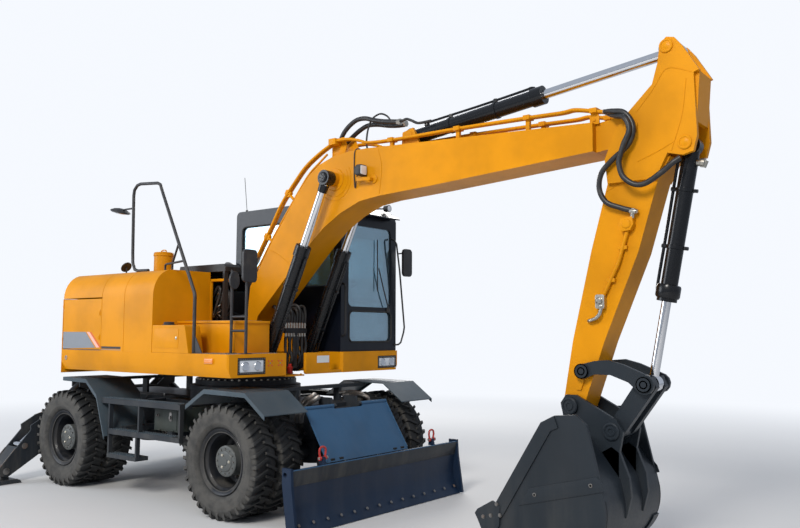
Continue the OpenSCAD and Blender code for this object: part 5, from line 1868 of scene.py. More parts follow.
@dataclass
class Armwork:
    """Hoses, valves, pins and seams of the arm, its linkage and the bucket."""

    boom_y: float = BOOM_Y
    face_y: float = BOOM_Y - 130.0

    def crossing_hoses(self) -> None:
        """Loops both hoses from the boom's tip over to the arm."""
        valve = ((4386, 3419), (4470, 3400), (4563, 3372), (4624, 3290), (4632, 3199), (4577, 3105), (4457, 3019),
                 (4367, 2927), (4345, 2810), (4394, 2706), (4501, 2654), (4600, 2620))
        ram = ((4386, 3419), (4487, 3362), (4580, 3322), (4617, 3222), (4572, 3120), (4545, 3040), (4531, 2980),
               (4556, 2880), (4636, 2812), (4724, 2808), (4847, 2880), (4925, 2938), (4975, 2972))
        for name, route, depth in (("valve", valve, (-252, -300, -318, -318, -318, -314, -306, -300, -292, -284, -272,
                                                     -258)),
                                   ("cylinder", ram, (-216, -290, -346, -352, -352, -352, -350, -344, -336, -330,
                                                      -322, -318, -300))):
            points = [(x, y, z) for (x, z), y in zip(route, depth)]
            hose = Shell().bent(points, 21, 14, 7)
            span(hose, f"crossing_hose_{name}", (4560, -300, 3400), (4545, -300, 2940))
        nut = Shell()
        for y in (-252, -216):
            nut.spun(((19, 0), (19, 30), (24, 32), (24, 54), (18, 56), (18, 84)),
                     (4372, y, 3424), (0.94, 0, -0.2), 6)
        nut.piece("crossing_nuts", "plated_steel", "boom_body", smooth=30)

    def valves(self) -> None:
        """Mounts the upper valve, the pipe down the arm and the lower valve with its stub hose."""
        y = self.face_y
        valve, steel, pipe = Shell(), Shell(), Shell()
        valve.prism(((4508, 2570), (4596, 2580), (4606, 2520), (4580, 2476), (4510, 2468), (4492, 2520)), Plane.XZ,
                    y + 2, y - 54)
        valve.spun(capped(38, 0, 50, 30, 58), (4550, y - 4, 2526), (0, -1, 0), 28)
        valve.piece("arm_valve", "boom_enamel", "arm_body", 4)
        steel.rod((4576, y - 34, 2620), (4626, y - 34, 2614), 21, 20)
        steel.rod((4602, y - 34, 2640), (4592, y - 34, 2566), 18, 6)
        steel.bolt((4620, y - 34, 2616), (1, 0, -0.1), 15, 18)
        steel.prism(rounded((4288, 1890), (4362, 1998), 14), Plane.XZ, y + 2, y - 48)
        steel.spun(capped(26, 0, 16, 18, 22), (4322, y - 47, 1950), (0, -1, 0), 24)
        steel.spun(capped(14, 0, 12, 8, 15), (4336, y - 47, 1908), (0, -1, 0), 6)
        steel.bent([(4330, y - 30, 1896), (4318, y - 36, 1850), (4286, y - 36, 1816),
                    (4240, y - 30, 1800), (4222, y - 16, 1798), (4214, y + 3, 1798)], 15, 12, 5)
        steel.piece("arm_fittings", "plated_steel", "arm_body", 1.5)
        pipe.tube([(4548, y - 24, 2480), (4470, y - 22, 2230), (4345, y - 24, 1985)], 15, 12)
        for x, z in ((4508, 2350), (4408, 2106)):
            pipe.box((x - 34, y - 30, z - 14), (x + 34, y + 1, z + 14))
        pipe.piece("arm_pipe", "boom_enamel", "arm_body", 2)

    def pins(self) -> None:
        """Caps the arm's pins and draws its seams."""
        caps, seams = Shell(), Shell()
        head = (((52, -4), (52, 5), (46, 9), (38, 9), (36, 5), (24, 5), (18, 8), (0.1, 8)))
        for side in SIDES:
            y = self.boom_y + side * 165
            for x, z in (ARM_RAM[1], BUCKET_RAM[0]):
                caps.spun(head, (x, y + side * 4, z), (0, side, 0), 40)
            caps.spun(head, (BOOM_TIP[0], self.boom_y + side * 175, BOOM_TIP[1]), (0, side, 0), 40)
            y = self.boom_y + side * 165.4
            for line in (((4640, 3372), (4770, 3520), (4850, 3640), (4900, 3662), (4964, 3647), (5060, 3602)),
                         ((5020, 3560), (4985, 3300), (4900, 3040)), ((4640, 2990), (4800, 3050), (4917, 3104))):
                seams.bent([(x, y, z) for x, z in line], 3.4, 6, 5)
            y = self.boom_y + side * 130.4
            for line in (((4377, 2796), (4560, 2880), (4700, 2930)), ((4110, 1330), (4180, 1370), (4260, 1400))):
                seams.bent([(x, y, z) for x, z in line], 3.0, 6, 5)
            lug = ((4092, 1290), (4110, 1262), (4142, 1262), (4170, 1340), (4120, 1352))
            seams.prism(lug, Plane.XZ, self.boom_y + side * 129, self.boom_y + side * 142)
        caps.piece("arm_pin_caps", "boom_enamel", "arm_body", smooth=30)
        seams.piece("arm_seams", "boom_enamel", "arm_body")

    def ram(self) -> None:
        """Clamps the pipe to the bucket cylinder and rings its gland."""
        y = self.boom_y
        foot, _, way = ram_axis(BUCKET_RAM, y)
        side = Vector((-way.z, 0, way.x)) * -1
        pipe = Shell()
        line = [foot + way * d + side * h for d, h in ((120, 58), (120, 84), (190, 88), (640, 86), (1040, 88),
                                                       (1110, 78))]
        pipe.bent(line, 12, 10, 4)
        for d in (330, 760):
            pipe.spun(((60, -16), (68, -13), (68, 13), (60, 16)), foot + way * d, way, 40, loop=True)
            pipe.rod(foot + way * d + side * 60, foot + way * d + side * 104, 16, 8)
            pipe.rod(foot + way * d - side * 60, foot + way * d - side * 96, 14, 8)
        pipe.spun(((62, -70), (84, -64), (90, -50), (90, 20), (82, 34), (62, 40)),
                  foot + way * 1110, way, 40, loop=True)
        pipe.piece("bucket_cylinder_pipe", "cylinder_enamel", "bucket_barrel_body", smooth=40)
        nut = Shell().spun(((28, 0), (28, 34), (34, 38), (34, 64), (24, 68)),
                           foot + way * 118 - side * 49, -side, 20)
        nut.rod(foot + way * 100 - side * 118, foot + way * 150 - side * 106, 20, 16)
        nut.piece("bucket_cylinder_port", "plated_steel", "bucket_barrel_body", smooth=30)

    def bucket(self) -> None:
        """Adds pin caps, cutter bolts, tooth pins and worn lips to the bucket."""
        caps, links, bolts, tips, strip = Shell(), Shell(), Shell(), Shell(), Shell()
        ringed = ((66, -4), (66, 10), (58, 16), (50, 16), (46, 10), (36, 10), (32, 16), (22, 16), (18, 10), (0.1, 10))
        for side in SIDES:
            ear = self.boom_y + side * 195
            caps.spun(ringed, (BUCKET_PIN[0], ear, BUCKET_PIN[1]), (0, side, 0), 44)
            caps.spun(ringed, (4403, ear - side * 10, 969), (0, side, 0), 44)
            links.spun(ringed[2:], (4170, self.boom_y + side * 182, 1410), (0, side, 0), 40)
            links.spun(ringed[2:], (4660, self.boom_y + side * 176, 1326), (0, side, 0), 40)
            wall = self.boom_y + side * 543
            for x, z in ((3618, 392), (3648, 312), (3566, 300), (3498, 282)):
                bolts.bolt((x, wall, z), (0, side, 0), 13, 9)
            outer = self.boom_y + side * 525
            strip.prism(((3898, 542), (4441, 684), (4480, 640), (4497, 588), (3805, 404)), Plane.XZ,
                        outer - side, outer + side * 7)
            for x, z in ((3942, 501), (4393, 620)):
                bolts.spun(((15, 0), (15, 8), (8, 9), (8, 4), (0.1, 4)),
                           (x, outer + side * 3, z), (0, side, 0), 20)
        for y in TEETH_Y:
            bolts.rod((3500, y - 44, 118), (3500, y + 44, 118), 9, 12)
            tips.prism(((3303, 51), (3299, 34), (3312, 26.6), (3352, 32), (3352, 82)),
                       Plane.XZ, y - 27.6, y + 27.6)
        caps.piece("bucket_pin_caps", "tool_enamel", "bucket_body", smooth=30)
        links.piece("link_pin_caps", "tool_enamel", "bucket_link_body", smooth=30)
        bolts.piece("cutter_bolts", "worn_steel", "bucket_body", smooth=30)
        strip.piece("bucket_side_bands", "tool_enamel", "bucket_body", 1.5)
        tips.piece("tooth_tips", "worn_steel", "bucket_body", 2)

    def build(self) -> None:
        """Makes all of them."""
        self.crossing_hoses()
        self.valves()
        self.pins()
        self.ram()
        self.bucket()
        LOG.info("arm and bucket")


@dataclass
class Deck:
    """The upper frame with its sharp front, creased sides and lamp recesses, and the tank beside the bay."""

    dresser: Dresser
    half_w: float = HALF_W
    front: float = DECK_FRONT
    low: float = 1280.0
    high: float = DECK_TOP
    lamps: tuple[tuple[float, float, float, float], ...] = HEADLAMPS

    def frame(self) -> None:
        """Builds the deck with the boom's brackets."""
        w, front = self.half_w, self.front
        outline = ((-1676, -w), (front - 15, -w), (front, -w + 15), (front, -515), (front - 25, -490), (560, -490),
                   (560, 290), (front - 25, 290), (front, 315), (front, w - 15), (front - 15, w), (-1676, w))
        deck = Shell().prism(outline, Plane.XY, self.low, self.high)
        cuts = Shell()
        for y0, y1 in ((-1160, -680), (680, 1160)):
            cuts.box((-1600, y0, self.low - 1), (-60, y1, self.high - 25))
        for y0, y1 in ((-1160, -560), (380, 1160)):
            cuts.box((0, y0, self.low - 1), (1060, y1, self.high - 25))
        crease = self.high - 125
        for side in SIDES:
            wedge = ((side * (w + 9), crease + 22), (side * (w + 90), crease + 22), (side * (w + 90), self.low - 25),
                     (side * (w - 51), self.low - 25))
            cuts.prism(wedge, Plane.YZ, -1690, front + 10)
        for y0, y1, z0, z1 in self.lamps:
            cuts.box((front - 40, y0, z0), (front + 10, y1, z1))
        deck.cut(cuts)
        bracket = ((-420, 1480), (230, 1800), (370, 1812), (470, 1760), (820, 1440), (815, 1310), (700, 1285),
                   (-420, 1285))
        for side in SIDES:
            y = BOOM_Y + side * 190
            deck.prism(bracket, Plane.XZ, y, y + side * 32)
            x, z = BOOM_RAM[0]
            deck.rod((x, y, z), (x, BOOM_Y + side * 362, z), 40)
        x, z = BOOM_FOOT
        deck.rod((x, BOOM_Y - 240, z), (x, BOOM_Y + 240, z), 45)
        self.dresser.even(deck.piece("deck", "orange_enamel", "upper", 5), "upper_frame")
        bowls = Shell()
        for y0, y1, z0, z1 in self.lamps:
            bowls.prism(rounded((y0 + 1, z0 + 1), (y1 - 1, z1 - 1), 8), Plane.YZ, front - 39, front - 13)
        bowls.piece("lamp_housings", "black_plastic", "upper", 2)

    def tank(self) -> None:
        """Builds the tank with its lipped top and the box beside it with a sloping front."""
        tank = Shell().box((6, -940, self.high), (900, -500, 1796))
        tank.box((6, -952, 1784), (912, -500, 1810))
        tank.prism(((6, self.high), (6, 1765), (505, 1765), (523, 1750), (585, self.high)), Plane.XZ,
                   -self.half_w, -self.half_w + 180)
        tank.box((6, -self.half_w + 170, self.high), (300, -930, 1745))
        self.dresser.even(tank.piece("tank", "orange_enamel", "upper", 6), "fuel_tank")

    def section(self, t: float) -> list[tuple[float, float]]:
        """The hood's section across the machine, t inside its outline."""
        flat = (275 - t) / (225 - t)
        return [(-self.half_w + t, self.high + t), *arc((-1020, 2060), 225 - t, 180, 90, 8, flat),
                *arc((1020, 2060), 225 - t, 90, 0, 8, flat), (self.half_w - t, self.high + t)]

    def hood(self) -> None:
        """Cuts the seam and the vent into the hood, and adds the filler's neck and the hinges."""
        cuts = Shell().prism(self.section(-20), Plane.YZ, -493, -487)
        cuts.cut(Shell().prism(self.section(5), Plane.YZ, -500, -480))
        cuts.box((-896, -self.half_w - 20, 1518), (-535, -self.half_w + 6, 1543))
        shell = self.dresser.solid("engine_hood").cut(cuts)
        foot = (-460, -800, 2330)
        neck = ((118, 0), (118, 18), (101, 20), (100, 180), (107, 182), (107, 199), (0.1, 200))
        shell.spun(neck, foot, (0, 0, 1), 48)
        for side in SIDES:
            for z in (1600, 1960):
                y = side * (self.half_w + 5)
                shell.rod((-1662, y, z), (-1662, y, z + 30), 6, 20)
        for y in (-520, 480):
            shell.rod((-905, y - 30, 2348), (-905, y + 31, 2348), 10, 20)
            shell.box((-905, y - 30, 2338), (-850, y, 2345))
        self.dresser.even(shell.piece("hood", "orange_enamel", "upper", 5), "engine_hood")
        lid = self.dresser.solid("engine_lid")
        for y in (-520, 480):
            lid.box((-960, y + 1, 2338), (-905, y + 31, 2345))
        self.dresser.even(lid.piece("lid_panel", "orange_enamel", "lid", 5), "engine_lid")

    def build(self) -> None:
        """Makes all of them."""
        self.frame()
        self.tank()
        self.hood()
        LOG.info("deck, tank and hood")


@dataclass
class Rails:
    """Handrails, ladder posts and mirrors in place of the plain ones."""

    deck_z: float = DECK_TOP
    roof_z: float = 2335.0

    def build(self) -> None:
        """Bends the tubes and hangs the mirrors."""
        y, roof, deck = -960, self.roof_z, self.deck_z
        tubes = Shell()
        arch = [(-500, y, roof + 17), (-690, y, roof + 20), (-748, y, 2372), (-790, y, 2450), (-797, y, 2560),
                (-811, y, 3190), (-800, y, 3250), (-750, y, 3296), (-690, y, 3307), (-380, y, 3283), (-330, y, 3262),
                (-300, y - 6, 3214), (603, -1200, 2070), (609, -1200, 2030), (609, -1200, deck)]
        tubes.tube(arch, 17, 14)
        tubes.prism(((593, deck), (739, deck), (629, 1660), (593, 1660)), Plane.XZ, -1204, -1196)
        tubes.tube([(337, -1132, 2400), (-120, -1008, 2396), (-146, -1001, 2388), (-150, -1000, 2360),
                    (-150, -1000, roof)], 11, 12)
        tubes.tube([(196, -1096, 2584), (-14, -1005, 2416), (-28, -1000, 2396), (-30, -1000, roof)], 11, 12)
        for x, z in ((910, 2290), (1120, 2375)):
            tubes.rod((x, -1000, deck), (x, -1000, z), 15, 18)
            tubes.box((x - 40, -1040, deck), (x + 40, -960, deck + 8))
        for z in (1711, 1844):
            tubes.rod((910, -1000, z), (1120, -1000, z), 12, 14)
        tubes.box((910, -1008, 2180), (930, -992, 2204))
        tubes.box((1120, -1008, 2300), (1140, -992, 2330))
        tubes.rod((-805, y, 3050), (-1020, y, 3050), 10, 12)
        arm = [(1128, 1130, 2765), (1160, 1130, 2765), (1184, 1140, 2752), (1200, 1162, 2712), (1200, 1222, 2407),
               (1200, 1312, 1760), (1192, 1308, 1700), (1166, 1290, 1585), (1157, 1255, 1562), (1150, 1225, 1560),
               (1130, 1225, 1560)]
        tubes.tube(arm, 10, 12)
        tubes.rod((1200, 1185, 2600), (1217, 1300, 2620), 8, 12)
        rails = tubes.piece("rails", "black_plastic", "upper", smooth=60)
        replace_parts(rails, "handrails")
        backs = Shell()
        oval = [(-1000 + 60 * math.cos(a), 2192 + 86 * math.sin(a)) for a in (math.tau * k / 28 for k in range(28))]
        for outline, low, high in ((oval, 928, 952), (rounded((-1085, 2165), (-915, 2475), 40), 1138, 1168),
                                   (rounded((1250, 2345), (1415, 2665), 45), 1205, 1235)):
            backs.prism(outline, Plane.YZ, low, high)
        dish = ((104, 0), (112, 4), (108, 14), (70, 34), (30, 44), (0.1, 46))
        backs.spun(dish, (-1060, y, 3026), (0.30, 0, 0.95), 44)
        backs.piece("mirror_backs", "black_plastic", "upper", 7, segments=3, smooth=50)
        LOG.info("rails")


@dataclass
class CabBody:
    """The cab's shell, door and panes with round-cornered windows."""

    dresser: Dresser
    wall: float = 40.0
    inner_y: float = 300.0
    doorway: tuple[float, float, float, float] = (200, 1560, 1050, 2960)
    corner: float = 60.0
    left: tuple[float, float, float, float] = (-460, 2200, 120, 2960)
    right: tuple[float, float, float, float] = (-460, 2200, 1030, 2940)
    rear: tuple[float, float, float, float] = (390, 2250, 1155, 2980)
    screens: tuple[tuple[float, float, float, float], ...] = ((425, 1980, 1145, 2870), (435, 1598, 1155, 1930))
    door_windows: tuple[tuple[float, float, float, float], ...] = ((270, 2100, 980, 2890), (270, 1640, 980, 2040))

    def side(self, t: float) -> list[tuple[float, float]]:
        """The cab's side view, t inside its outline."""
        return [(-570 + t, DECK_TOP + t), *arc((-510, 3070), 60 - t, 180, 90, 4),
                *arc((890, 2940), 240 - t, 90, 8, 8, (190 - t) / (240 - t)), (1130 - t, DECK_TOP + t)]

    def pane(self, window: Sequence[float], grow: float = 0.0) -> list[tuple[float, float]]:
        """A window's outline."""
        return rounded((window[0] - grow, window[1] - grow), (window[2] + grow, window[3] + grow), self.corner + grow)

    def build(self) -> None:
        """Builds shell, door and glass."""
        inner, outer = self.inner_y, HALF_W
        shell = Shell().prism(self.side(0), Plane.XZ, inner, outer)
        shell.cut(Shell().prism(self.side(self.wall), Plane.XZ, inner + self.wall, outer - self.wall))
        holes = Shell().prism(self.pane(self.doorway), Plane.XZ, 1185, 1255)
        holes.prism(self.pane(self.left), Plane.XZ, 1185, 1255)
        holes.prism(self.pane(self.right), Plane.XZ, 290, 360)
        holes.prism(self.pane(self.rear), Plane.YZ, -580, -510)
        for window in self.screens:
            holes.prism(self.pane(window), Plane.YZ, 1020, 1140)
        shell.cut(holes)
        visor = ((1010, 3075), (1050, 3088), (1250, 2992), (1258, 2976), (1100, 3000), (1060, 3030))
        shell.prism(visor, Plane.XZ, 390, 1155)
        shell.prism(rounded((400, 470), (840, 1075), 60), Plane.XY, 3125, 3150)
        for z in (1650, 2750):
            shell.rod((208, 1250, z), (208, 1250, z + 30), 7, 16)
        self.dresser.even(shell.piece("cab_body", "cab_enamel", "upper", 6), "cab_shell")
        door = Shell().prism(rounded((208, 1568), (1042, 2952), 52), Plane.XZ, outer - self.wall, outer)
        holes = Shell()
        for window in self.door_windows:
            holes.prism(self.pane(window), Plane.XZ, 1185, 1255)
        door.cut(holes)
        door.prism(rounded((988, 2050), (1030, 2130), 12), Plane.XZ, 1244, 1267)
        self.dresser.even(door.piece("door_frame", "cab_enamel", "door_cab", 5), "cab_door")
        glass = Shell().prism(self.pane(self.left, 1), Plane.XZ, 1221, 1227)
        glass.prism(self.pane(self.right, 1), Plane.XZ, 318, 324)
        glass.prism(self.pane(self.rear, 1), Plane.YZ, -552, -546)
        for window in self.screens:
            glass.prism(self.pane(window, 1), Plane.YZ, 1106, 1112)
        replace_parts(glass.piece("panes", "window_glass", "upper"), "cab_glass")
        pane = Shell()
        for window in self.door_windows:
            pane.prism(self.pane(window, 1), Plane.XZ, 1221, 1227)
        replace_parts(pane.piece("door_panes", "window_glass", "door_cab"), "door_glass")
        lamps = Shell()
        for y in ROOF_LAMPS_Y:
            lamps.box((850, y - 20, 3130), (910, y + 20, 3150))
            lamps.rod((880, y, 3143), (1075, y, 3126), 8, 12)
            lamps.rod((1062, y, 3126), (1116, y, 3126), 38, 28)
        lamps.spun(((66, 0), (66, 12), (50, 16)), (-300, 1050, 3129), (0, 0, 1), 32)
        lamps.piece("roof_lamps", "black_plastic", "upper", 3)
        LOG.info("cab body")


@dataclass
class Digger:
    """The bucket with its strips, cutters and teeth, the bosses of boom and arm, and the stabilisers' legs."""

    dresser: Dresser
    half_w: float = 525.0
    ear_y: float = 145.0

    def bucket(self) -> None:
        """Builds the bucket."""
        heel = (4100, 420)
        outside = [(4020, 960), (4230, 930), (4470, 620), *arc(heel, 405, 14, -94, 24), (3500, 90)]
        inside = [(3500, 125), *arc(heel, 380, -94, 14, 24), (4446, 610), (4216, 905), (4020, 934)]
        side = [(3500, 90), (3560, 330), (4000, 1040), (4110, 1095), (4280, 1110), (4365, 1040),
                *arc(heel, 405, 14, -94, 24)]
        ear = ((3985, 1160), (4030, 1225), (4120, 1225), (4443, 1054), (4493, 969), (4463, 819), (4460, 610),
               (4222, 915), (4030, 945))
        strip = ((3562, 331), (4000, 1038), (4108, 1093), (4142, 1008), (4082, 980), (3664, 302))
        cutter = ((3418, 300), (3442, 334), (3575, 412), (3648, 380), (3640, 232), (3560, 118), (3506, 130),
                  (3444, 258))
        band = [*arc(heel, 418, -22, -82, 14), *arc(heel, 399, -82, -22, 14)]
        rib = ((4400, 860), (4463, 819), (4535, 640), (4548, 500), (4508, 345), (4490, 345), (4492, 430),
               (4474, 518), (4380, 660), (4300, 800))
        holder = ((3592, 88), (3590, 178), (3520, 164), (3440, 120), (3440, 50), (3500, 70))
        point = ((3458, 44), (3458, 128), (3400, 112), (3302, 52), (3298, 34), (3312, 26))
        shell, w = Shell(), self.half_w
        shell.prism(outside + inside, Plane.XZ, BOOM_Y - w + 5, BOOM_Y + w - 5)
        for s in SIDES:
            for outline, low, high in ((side, w - 30, w), (ear, self.ear_y, self.ear_y + 35),
                                       (rib, self.ear_y, self.ear_y + 35), (strip, w - 1, w + 12),
                                       (cutter, w - 6, w + 18), (band, w - 110, w + 2)):
                shell.prism(outline, Plane.XZ, BOOM_Y + s * low, BOOM_Y + s * high)
        for y in TEETH_Y:
            shell.prism(holder, Plane.XZ, y - 40, y + 40)
            rings = [[Vector((x, y + s * (26 + 24 * (x - 3290) / 170), z)) for x, z in point] for s in SIDES]
            shell.skinned(rings)
        x, z = BUCKET_PIN
        shell.rod((x, BOOM_Y - 195, z), (x, BOOM_Y + 195, z), 35)
        self.dresser.even(shell.piece("bucket_shell", "tool_enamel", "bucket_body", 4), "bucket")

    def bosses(self) -> None:
        """Adds the pin bosses of the boom and the bucket's end of the arm."""
        boss = Shell()
        for s in SIDES:
            for (x, z), radius, high in ((BOOM_FOOT, 105, 189), (BOOM_TIP, 118, 124), (BOOM_RAM[1], 112, 189)):
                boss.spun(((radius, 80), (radius, high - 5), (radius - 5, high)), (x, BOOM_Y, z), (0, s, 0), 48)
        boss.piece("boom_bosses", "boom_enamel", "boom_body", smooth=30)
        arm = Shell()
        for s in SIDES:
            arm.spun(((62, 60), (62, 140), (58, 144)), (BUCKET_PIN[0], BOOM_Y, BUCKET_PIN[1]), (0, s, 0), 40)
        arm.piece("arm_bosses", "boom_enamel", "arm_body", smooth=30)

    def legs(self) -> None:
        """Builds the stabilisers' legs with their plated ends."""
        cheek = ((420, 720), (400, 800), (440, 870), (540, 890), (1140, 712), (1296, 622), (1290, 572), (1464, 374),
                 (1640, 168), (1622, 88), (1528, 78), (1182, 290), (560, 680))
        floor = ((1490, 118), (1170, 314), (640, 640), (650, 657), (1181, 331), (1501, 135))
        plate = ((1440, 396), (1628, 176), (1616, 166), (1428, 386))
        for side, word in SIDE_WORDS:
            leg = Shell()
            for outline, low, high in ((cheek, -2430, -2410), (cheek, -2210, -2190), (floor, -2425, -2195),
                                       (plate, -2425, -2195)):
                leg.prism([(side * y, z) for y, z in outline], Plane.YZ, low, high)
            self.dresser.even(leg.piece(f"leg_{word}", "carrier_enamel", f"stabiliser_leg_{word}_body", 4),
                              f"stabiliser_leg_{word}")

    def build(self) -> None:
        """Makes all of them."""
        self.bucket()
        self.bosses()
        self.legs()
        LOG.info("bucket, bosses and legs")


@dataclass
class Cabin:
    """The cab's inside, seals, wipers, handles and mirror glass."""

    mid: float = 772.5
    floor_z: float = 1535.0
    side_y: float = HALF_W

    def cushion(self, name: str, centre: Spot, half: Spot, tilt: float, channels: int) -> None:
        """A crowned cushion with sewn channels across it.

        Args:
            name: the piece's name.
            centre: its middle.
            half: half of its length, width and thickness, in its own lie.
            tilt: how far it leans back from level, in degrees.
            channels: number of sewn channels along its length.
        """
        turn = Matrix.Rotation(math.radians(-tilt), 3, "Y")
        shell = Shell()
        rings = []
        along, across = 26, 40
        for i in range(along + 1):
            u = -1 + 2 * i / along
            edge = max(0.0, 1 - abs(u) ** 7) ** (1 / 3.2)
            crown = 1 - 0.10 * math.exp(-((math.sin(math.pi * channels * (u + 1) / 2)) / 0.22) ** 2)
            ring = []
            for j in range(across):
                a = math.tau * j / across
                c, s = math.cos(a), math.sin(a)
                y = math.copysign(abs(c) ** 0.42, c) * half[1] * (0.90 + 0.10 * edge)
                z = math.copysign(abs(s) ** 0.60, s) * half[2] * max(edge, 0.02) * (crown if s > 0 else 1.0)
                ring.append(Vector(centre) + turn @ Vector((u * half[0], y, z)))
            rings.append(ring)
        shell.skinned(rings)
        piece = shell.piece(name, "seat_cloth", "upper", smooth=70)

    def seat(self) -> None:
        """Builds the seat with its cushions, its sprung base and its shell."""
        m, f = self.mid, self.floor_z
        base = Shell()
        base.prism(rounded((-236, m - 226), (236, m + 226), 40), Plane.XY, f + 0.2, 1640)
        for i in range(6):
            z = 1640 + 30 * i
            base.prism(rounded((-200, m - 190), (200, m + 190), 50), Plane.XY, z, z + 16)
            base.prism(rounded((-212, m - 202), (212, m + 202), 56), Plane.XY, z + 15, z + 31)
        base.prism(rounded((-236, m - 226), (246, m + 226), 60), Plane.XY, 1826, 1862)
        main = base.piece("seat_base", "black_plastic", "upper", 3)
        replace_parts(main, "cab_interior")
        self.cushion("seat_cushion", (4, m, 1932), (248, 240, 62), -3, 3)
        self.cushion("seat_back", (-262, m, 2330), (300, 222, 55), 81, 5)
        self.cushion("headrest", (-318, m, 2588), (66, 130, 44), 82, 1)
        frame = Shell().prism(((-300, 1990), (-258, 1990), (-336, 2560), (-362, 2560)),
                              Plane.XZ, m - 190, m + 190)
        frame.piece("seat_shell", "black_plastic", "upper", 8)

    def controls(self) -> None:
        """Adds consoles, levers, the steering column and wheel, pedals and the screen."""
        m, f = self.mid, self.floor_z
        console, lever, wheel = Shell(), Shell(), Shell()
        for y in (m - 290, m + 290):
            console.prism(((-58, f + 0.2), (328, f + 0.2), (300, 1980), (326, 2050), (316, 2078), (120, 2080),
                           (-58, 1990)), Plane.XZ, y - 38, y + 38)
            lever.bent([(262, y, 2070), (268, y, 2118), (276, y, 2150)], 9, 10, 4)
            lever.spun(((16, 0), (21, 18), (22, 60), (26, 78), (20, 96), (0.1, 100)),
                       (276, y, 2145), (0.15, 0, 1), 20)
            lever.spun(((34, 0), (30, 14), (12, 34)), (262, y, 2076), (0, 0, 1), 20)
        console.prism(rounded((700, m - 110), (900, m + 110), 20), Plane.XY, f + 0.2, 1580)
        console.tube([(892, m, 1560), (740, m, 2150), (722, m, 2204)], 34, 16)
        console.prism(((770, 1980), (850, 1990), (812, 2150), (738, 2150)), Plane.XZ, m - 62, m + 62)
        console.prism(rounded((700, 345), (1000, 430), 14), Plane.XY, f + 0.2, 2020)
        console.piece("consoles", "black_plastic", "upper", 6)
        axis = Vector((-0.26, 0, 0.97))
        centre = Vector((714, m, 2226))
        rim = [centre + frame_along(axis) @ Vector((180 * math.cos(a), 180 * math.sin(a), 0))
               for a in (math.tau * k / 40 for k in range(40))]
        wheel.tube(rim, 13, 10, loop=True)
        for k in range(3):
            a = math.tau * k / 3 + 0.5
            out = frame_along(axis) @ Vector((math.cos(a), math.sin(a), 0))
            wheel.tube([centre + out * 30 - axis * 16, centre + out * 176], 10, 8)
        wheel.spun(((46, -26), (50, -14), (46, 2), (30, 8), (0.1, 9)), centre, axis, 24)
        wheel.piece("steering_wheel", "black_plastic", "upper", smooth=50)
        for y in (m - 70, m + 70):
            lever.prism(((930, 1560), (990, 1640), (982, 1650), (918, 1572)), Plane.XZ, y - 38, y + 38)
        lever.piece("levers", "seal_rubber", "upper", smooth=45)
        screen = Shell().prism(rounded((m - 300, 2130), (m - 130, 2270), 14), Plane.YZ, 930, 962)
        screen.tube([(946, m - 215, 2140), (962, m - 330, 2020)], 12, 10)
        screen.piece("cab_screen", "grey_plastic", "upper", 4)
        mat = Shell().prism(rounded((300, 360), (1060, 1180), 30), Plane.XY, f + 0.2, f + 12)
        mat.piece("floor_mat", "seal_rubber", "upper", 2)

    def seals(self) -> None:
        """Lays rubber seals round every window and the door."""
        seal = Shell()
        for plane, depth, window in ((Plane.XZ, 300, CabBody.right), (Plane.YZ, -570, CabBody.rear),
                                     (Plane.YZ, 1130, CabBody.screens[1]), (Plane.XZ, self.side_y, CabBody.left)):
            line = rounded(window[:2], window[2:], CabBody.corner)
            seal.tube([plane.spot(p, depth) for p in line], 9, 8, loop=True)
        seal.piece("window_seals", "seal_rubber", "upper", smooth=60)
        door = Shell()
        for window in CabBody.door_windows:
            line = rounded(window[:2], window[2:], CabBody.corner)
            door.tube([Plane.XZ.spot(p, self.side_y) for p in line], 9, 8, loop=True)
        door.tube([Plane.XZ.spot(p, 1244) for p in rounded((211, 1571), (1039, 2949), 50)], 6, 8, loop=True)
        door.piece("door_seals", "seal_rubber", "door_cab", smooth=60)

    def wipers(self) -> None:
        """Mounts the wiper, the grab rail, antenna, sun blind and mirror glass."""
        wiper = Shell()
        wiper.bent([(1150, 1090, 1950), (1156, 1000, 2150), (1150, 905, 2420)], 7, 8, 5)
        wiper.tube([(1140, 900, 2160), (1136, 896, 2740)], 6, 6)
        wiper.spun(capped(26, 0, 14, 14, 20), (1130, 1090, 1950), (1, 0, 0), 20)
        wiper.piece("front_wiper", "black_plastic", "upper", smooth=40)
        rail = Shell()
        rail.bent([(1132, 326, 1660), (1172, 322, 1680), (1180, 322, 1760), (1180, 322, 2120),
                   (1172, 322, 2200), (1130, 326, 2220)], 13, 12, 5)
        rail.piece("cab_rails", "valve_enamel", "upper")
        whip = Shell().rod((-480, 380, 3129), (-480, 380, 3160), 14, 16)
        whip.tube([(-480, 380, 3158), (-530, 380, 3560)], 3.5, 8)
        whip.piece("antenna", "black_plastic", "upper")
        blind = Shell().prism(rounded((480, 2740), (1105, 2862), 10), Plane.YZ, 1062, 1066)
        blind.piece("sun_blind", "pale_panel", "upper", 1)
        mirror = Shell()
        mirror.prism(rounded((-1075, 2175), (-925, 2465), 34), Plane.YZ, 1135.5, 1138.5)
        mirror.prism(rounded((1260, 2355), (1405, 2655), 38), Plane.YZ, 1202.5, 1205.5)
        mirror.prism(rounded((-1050, 2120), (-950, 2264), 46), Plane.YZ, 925.5, 928.5)
        mirror.spun(((104, -1), (96, 6), (60, 14), (0.1, 18)), (-1060, -960, 3027), (-0.30, 0, -0.95), 40)
        mirror.piece("mirror_faces", "mirror_glass", "upper", smooth=40)
        light = Shell().spun(((58, -4), (58, 22), (54, 60), (40, 84), (0.1, 92)),
                             (-300, 1050, 3132), (0, 0, 1), 32)
        light.piece("beacon_lens", "amber_lens", "upper", smooth=50)

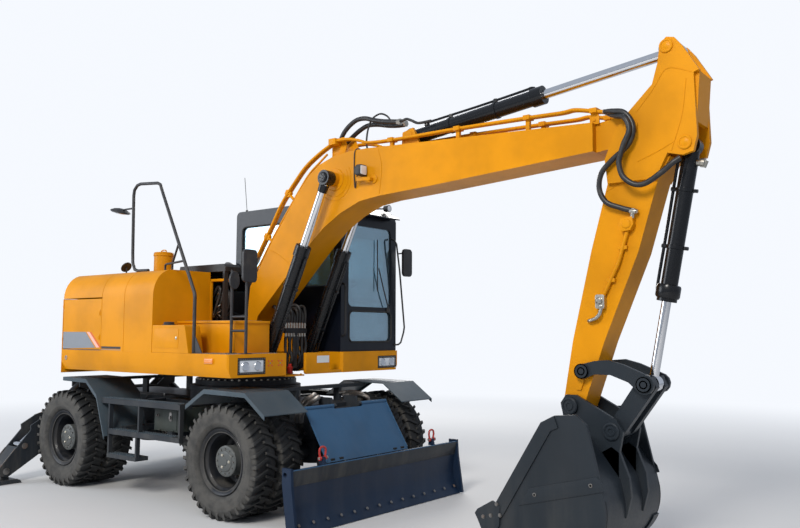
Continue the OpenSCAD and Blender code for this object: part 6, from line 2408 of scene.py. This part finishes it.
    def build(self) -> None:
        """Makes all of them."""
        self.seat()
        self.controls()
        self.seals()
        self.wipers()
        LOG.info("cab")


class Excavator:
    """The whole machine."""

    def __init__(self, frame: dict) -> None:
        """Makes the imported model's dresser."""
        self.dresser = Dresser(frame)

    def skins(self) -> None:
        """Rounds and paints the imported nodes."""
        skins = (
            # finish, edge, nodes
            ("carrier_enamel", 4, ("chassis_frame", "slew_ring", "front_axle", "rear_axle", "driveline",
                                   "knuckle_left", "knuckle_right", "blade_arms", "side_steps")),
            ("blade_enamel", 4, ("dozer_blade",)),
            ("fender_enamel", 3, ("fenders",)),
            ("cover_enamel", 4, ("blade_cover",)),
            ("box_enamel", 6, ("toolboxes",)),
            ("carrier_enamel", 4, ("stabiliser_foot_left", "stabiliser_foot_right")),
            ("cylinder_enamel", 3, ("boom_barrels", "arm_barrel", "bucket_barrel", "blade_barrels",
                                    "stabiliser_barrel_left", "stabiliser_barrel_right")),
            ("chrome_rod", 1.5, ("boom_rods", "arm_rod", "bucket_rod", "blade_rods", "stabiliser_rod_left",
                                 "stabiliser_rod_right", "steering_rod")),
            ("orange_enamel", 6, ("counterweight", "side_door_left", "side_door_right")),
            ("boom_enamel", 6, ("boom", "arm")),
            ("valve_enamel", 8, ("centre_cover", "valve_block")),
            ("tool_enamel", 4, ("bucket_link", "bucket_push_link")),
            ("engine_enamel", 8, ("engine_block",)),
        )
        for finish, edge, nodes in skins:
            self.dresser.round(finish, edge, *nodes)

    def build(self) -> None:
        """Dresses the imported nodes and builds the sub-assemblies in order."""
        self.skins()
        dresser, repeater = self.dresser, Repeater()
        for assembly in (Deck(dresser), Rails(), CabBody(dresser), Digger(dresser), Wheels(repeater),
                         Carrier(repeater), BladeGear(repeater), Bodywork(repeater), Boomwork(repeater), Armwork(),
                         Cabin(), Bay()):
            assembly.build()


def main() -> None:
    """Builds the studio and the machine, and logs the pieces."""
    logging.basicConfig(level=logging.INFO, format="%(message)s")
    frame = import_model()
    Studio().build()
    Excavator(frame).build()
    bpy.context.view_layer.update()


if __name__ == "__main__":
    main()
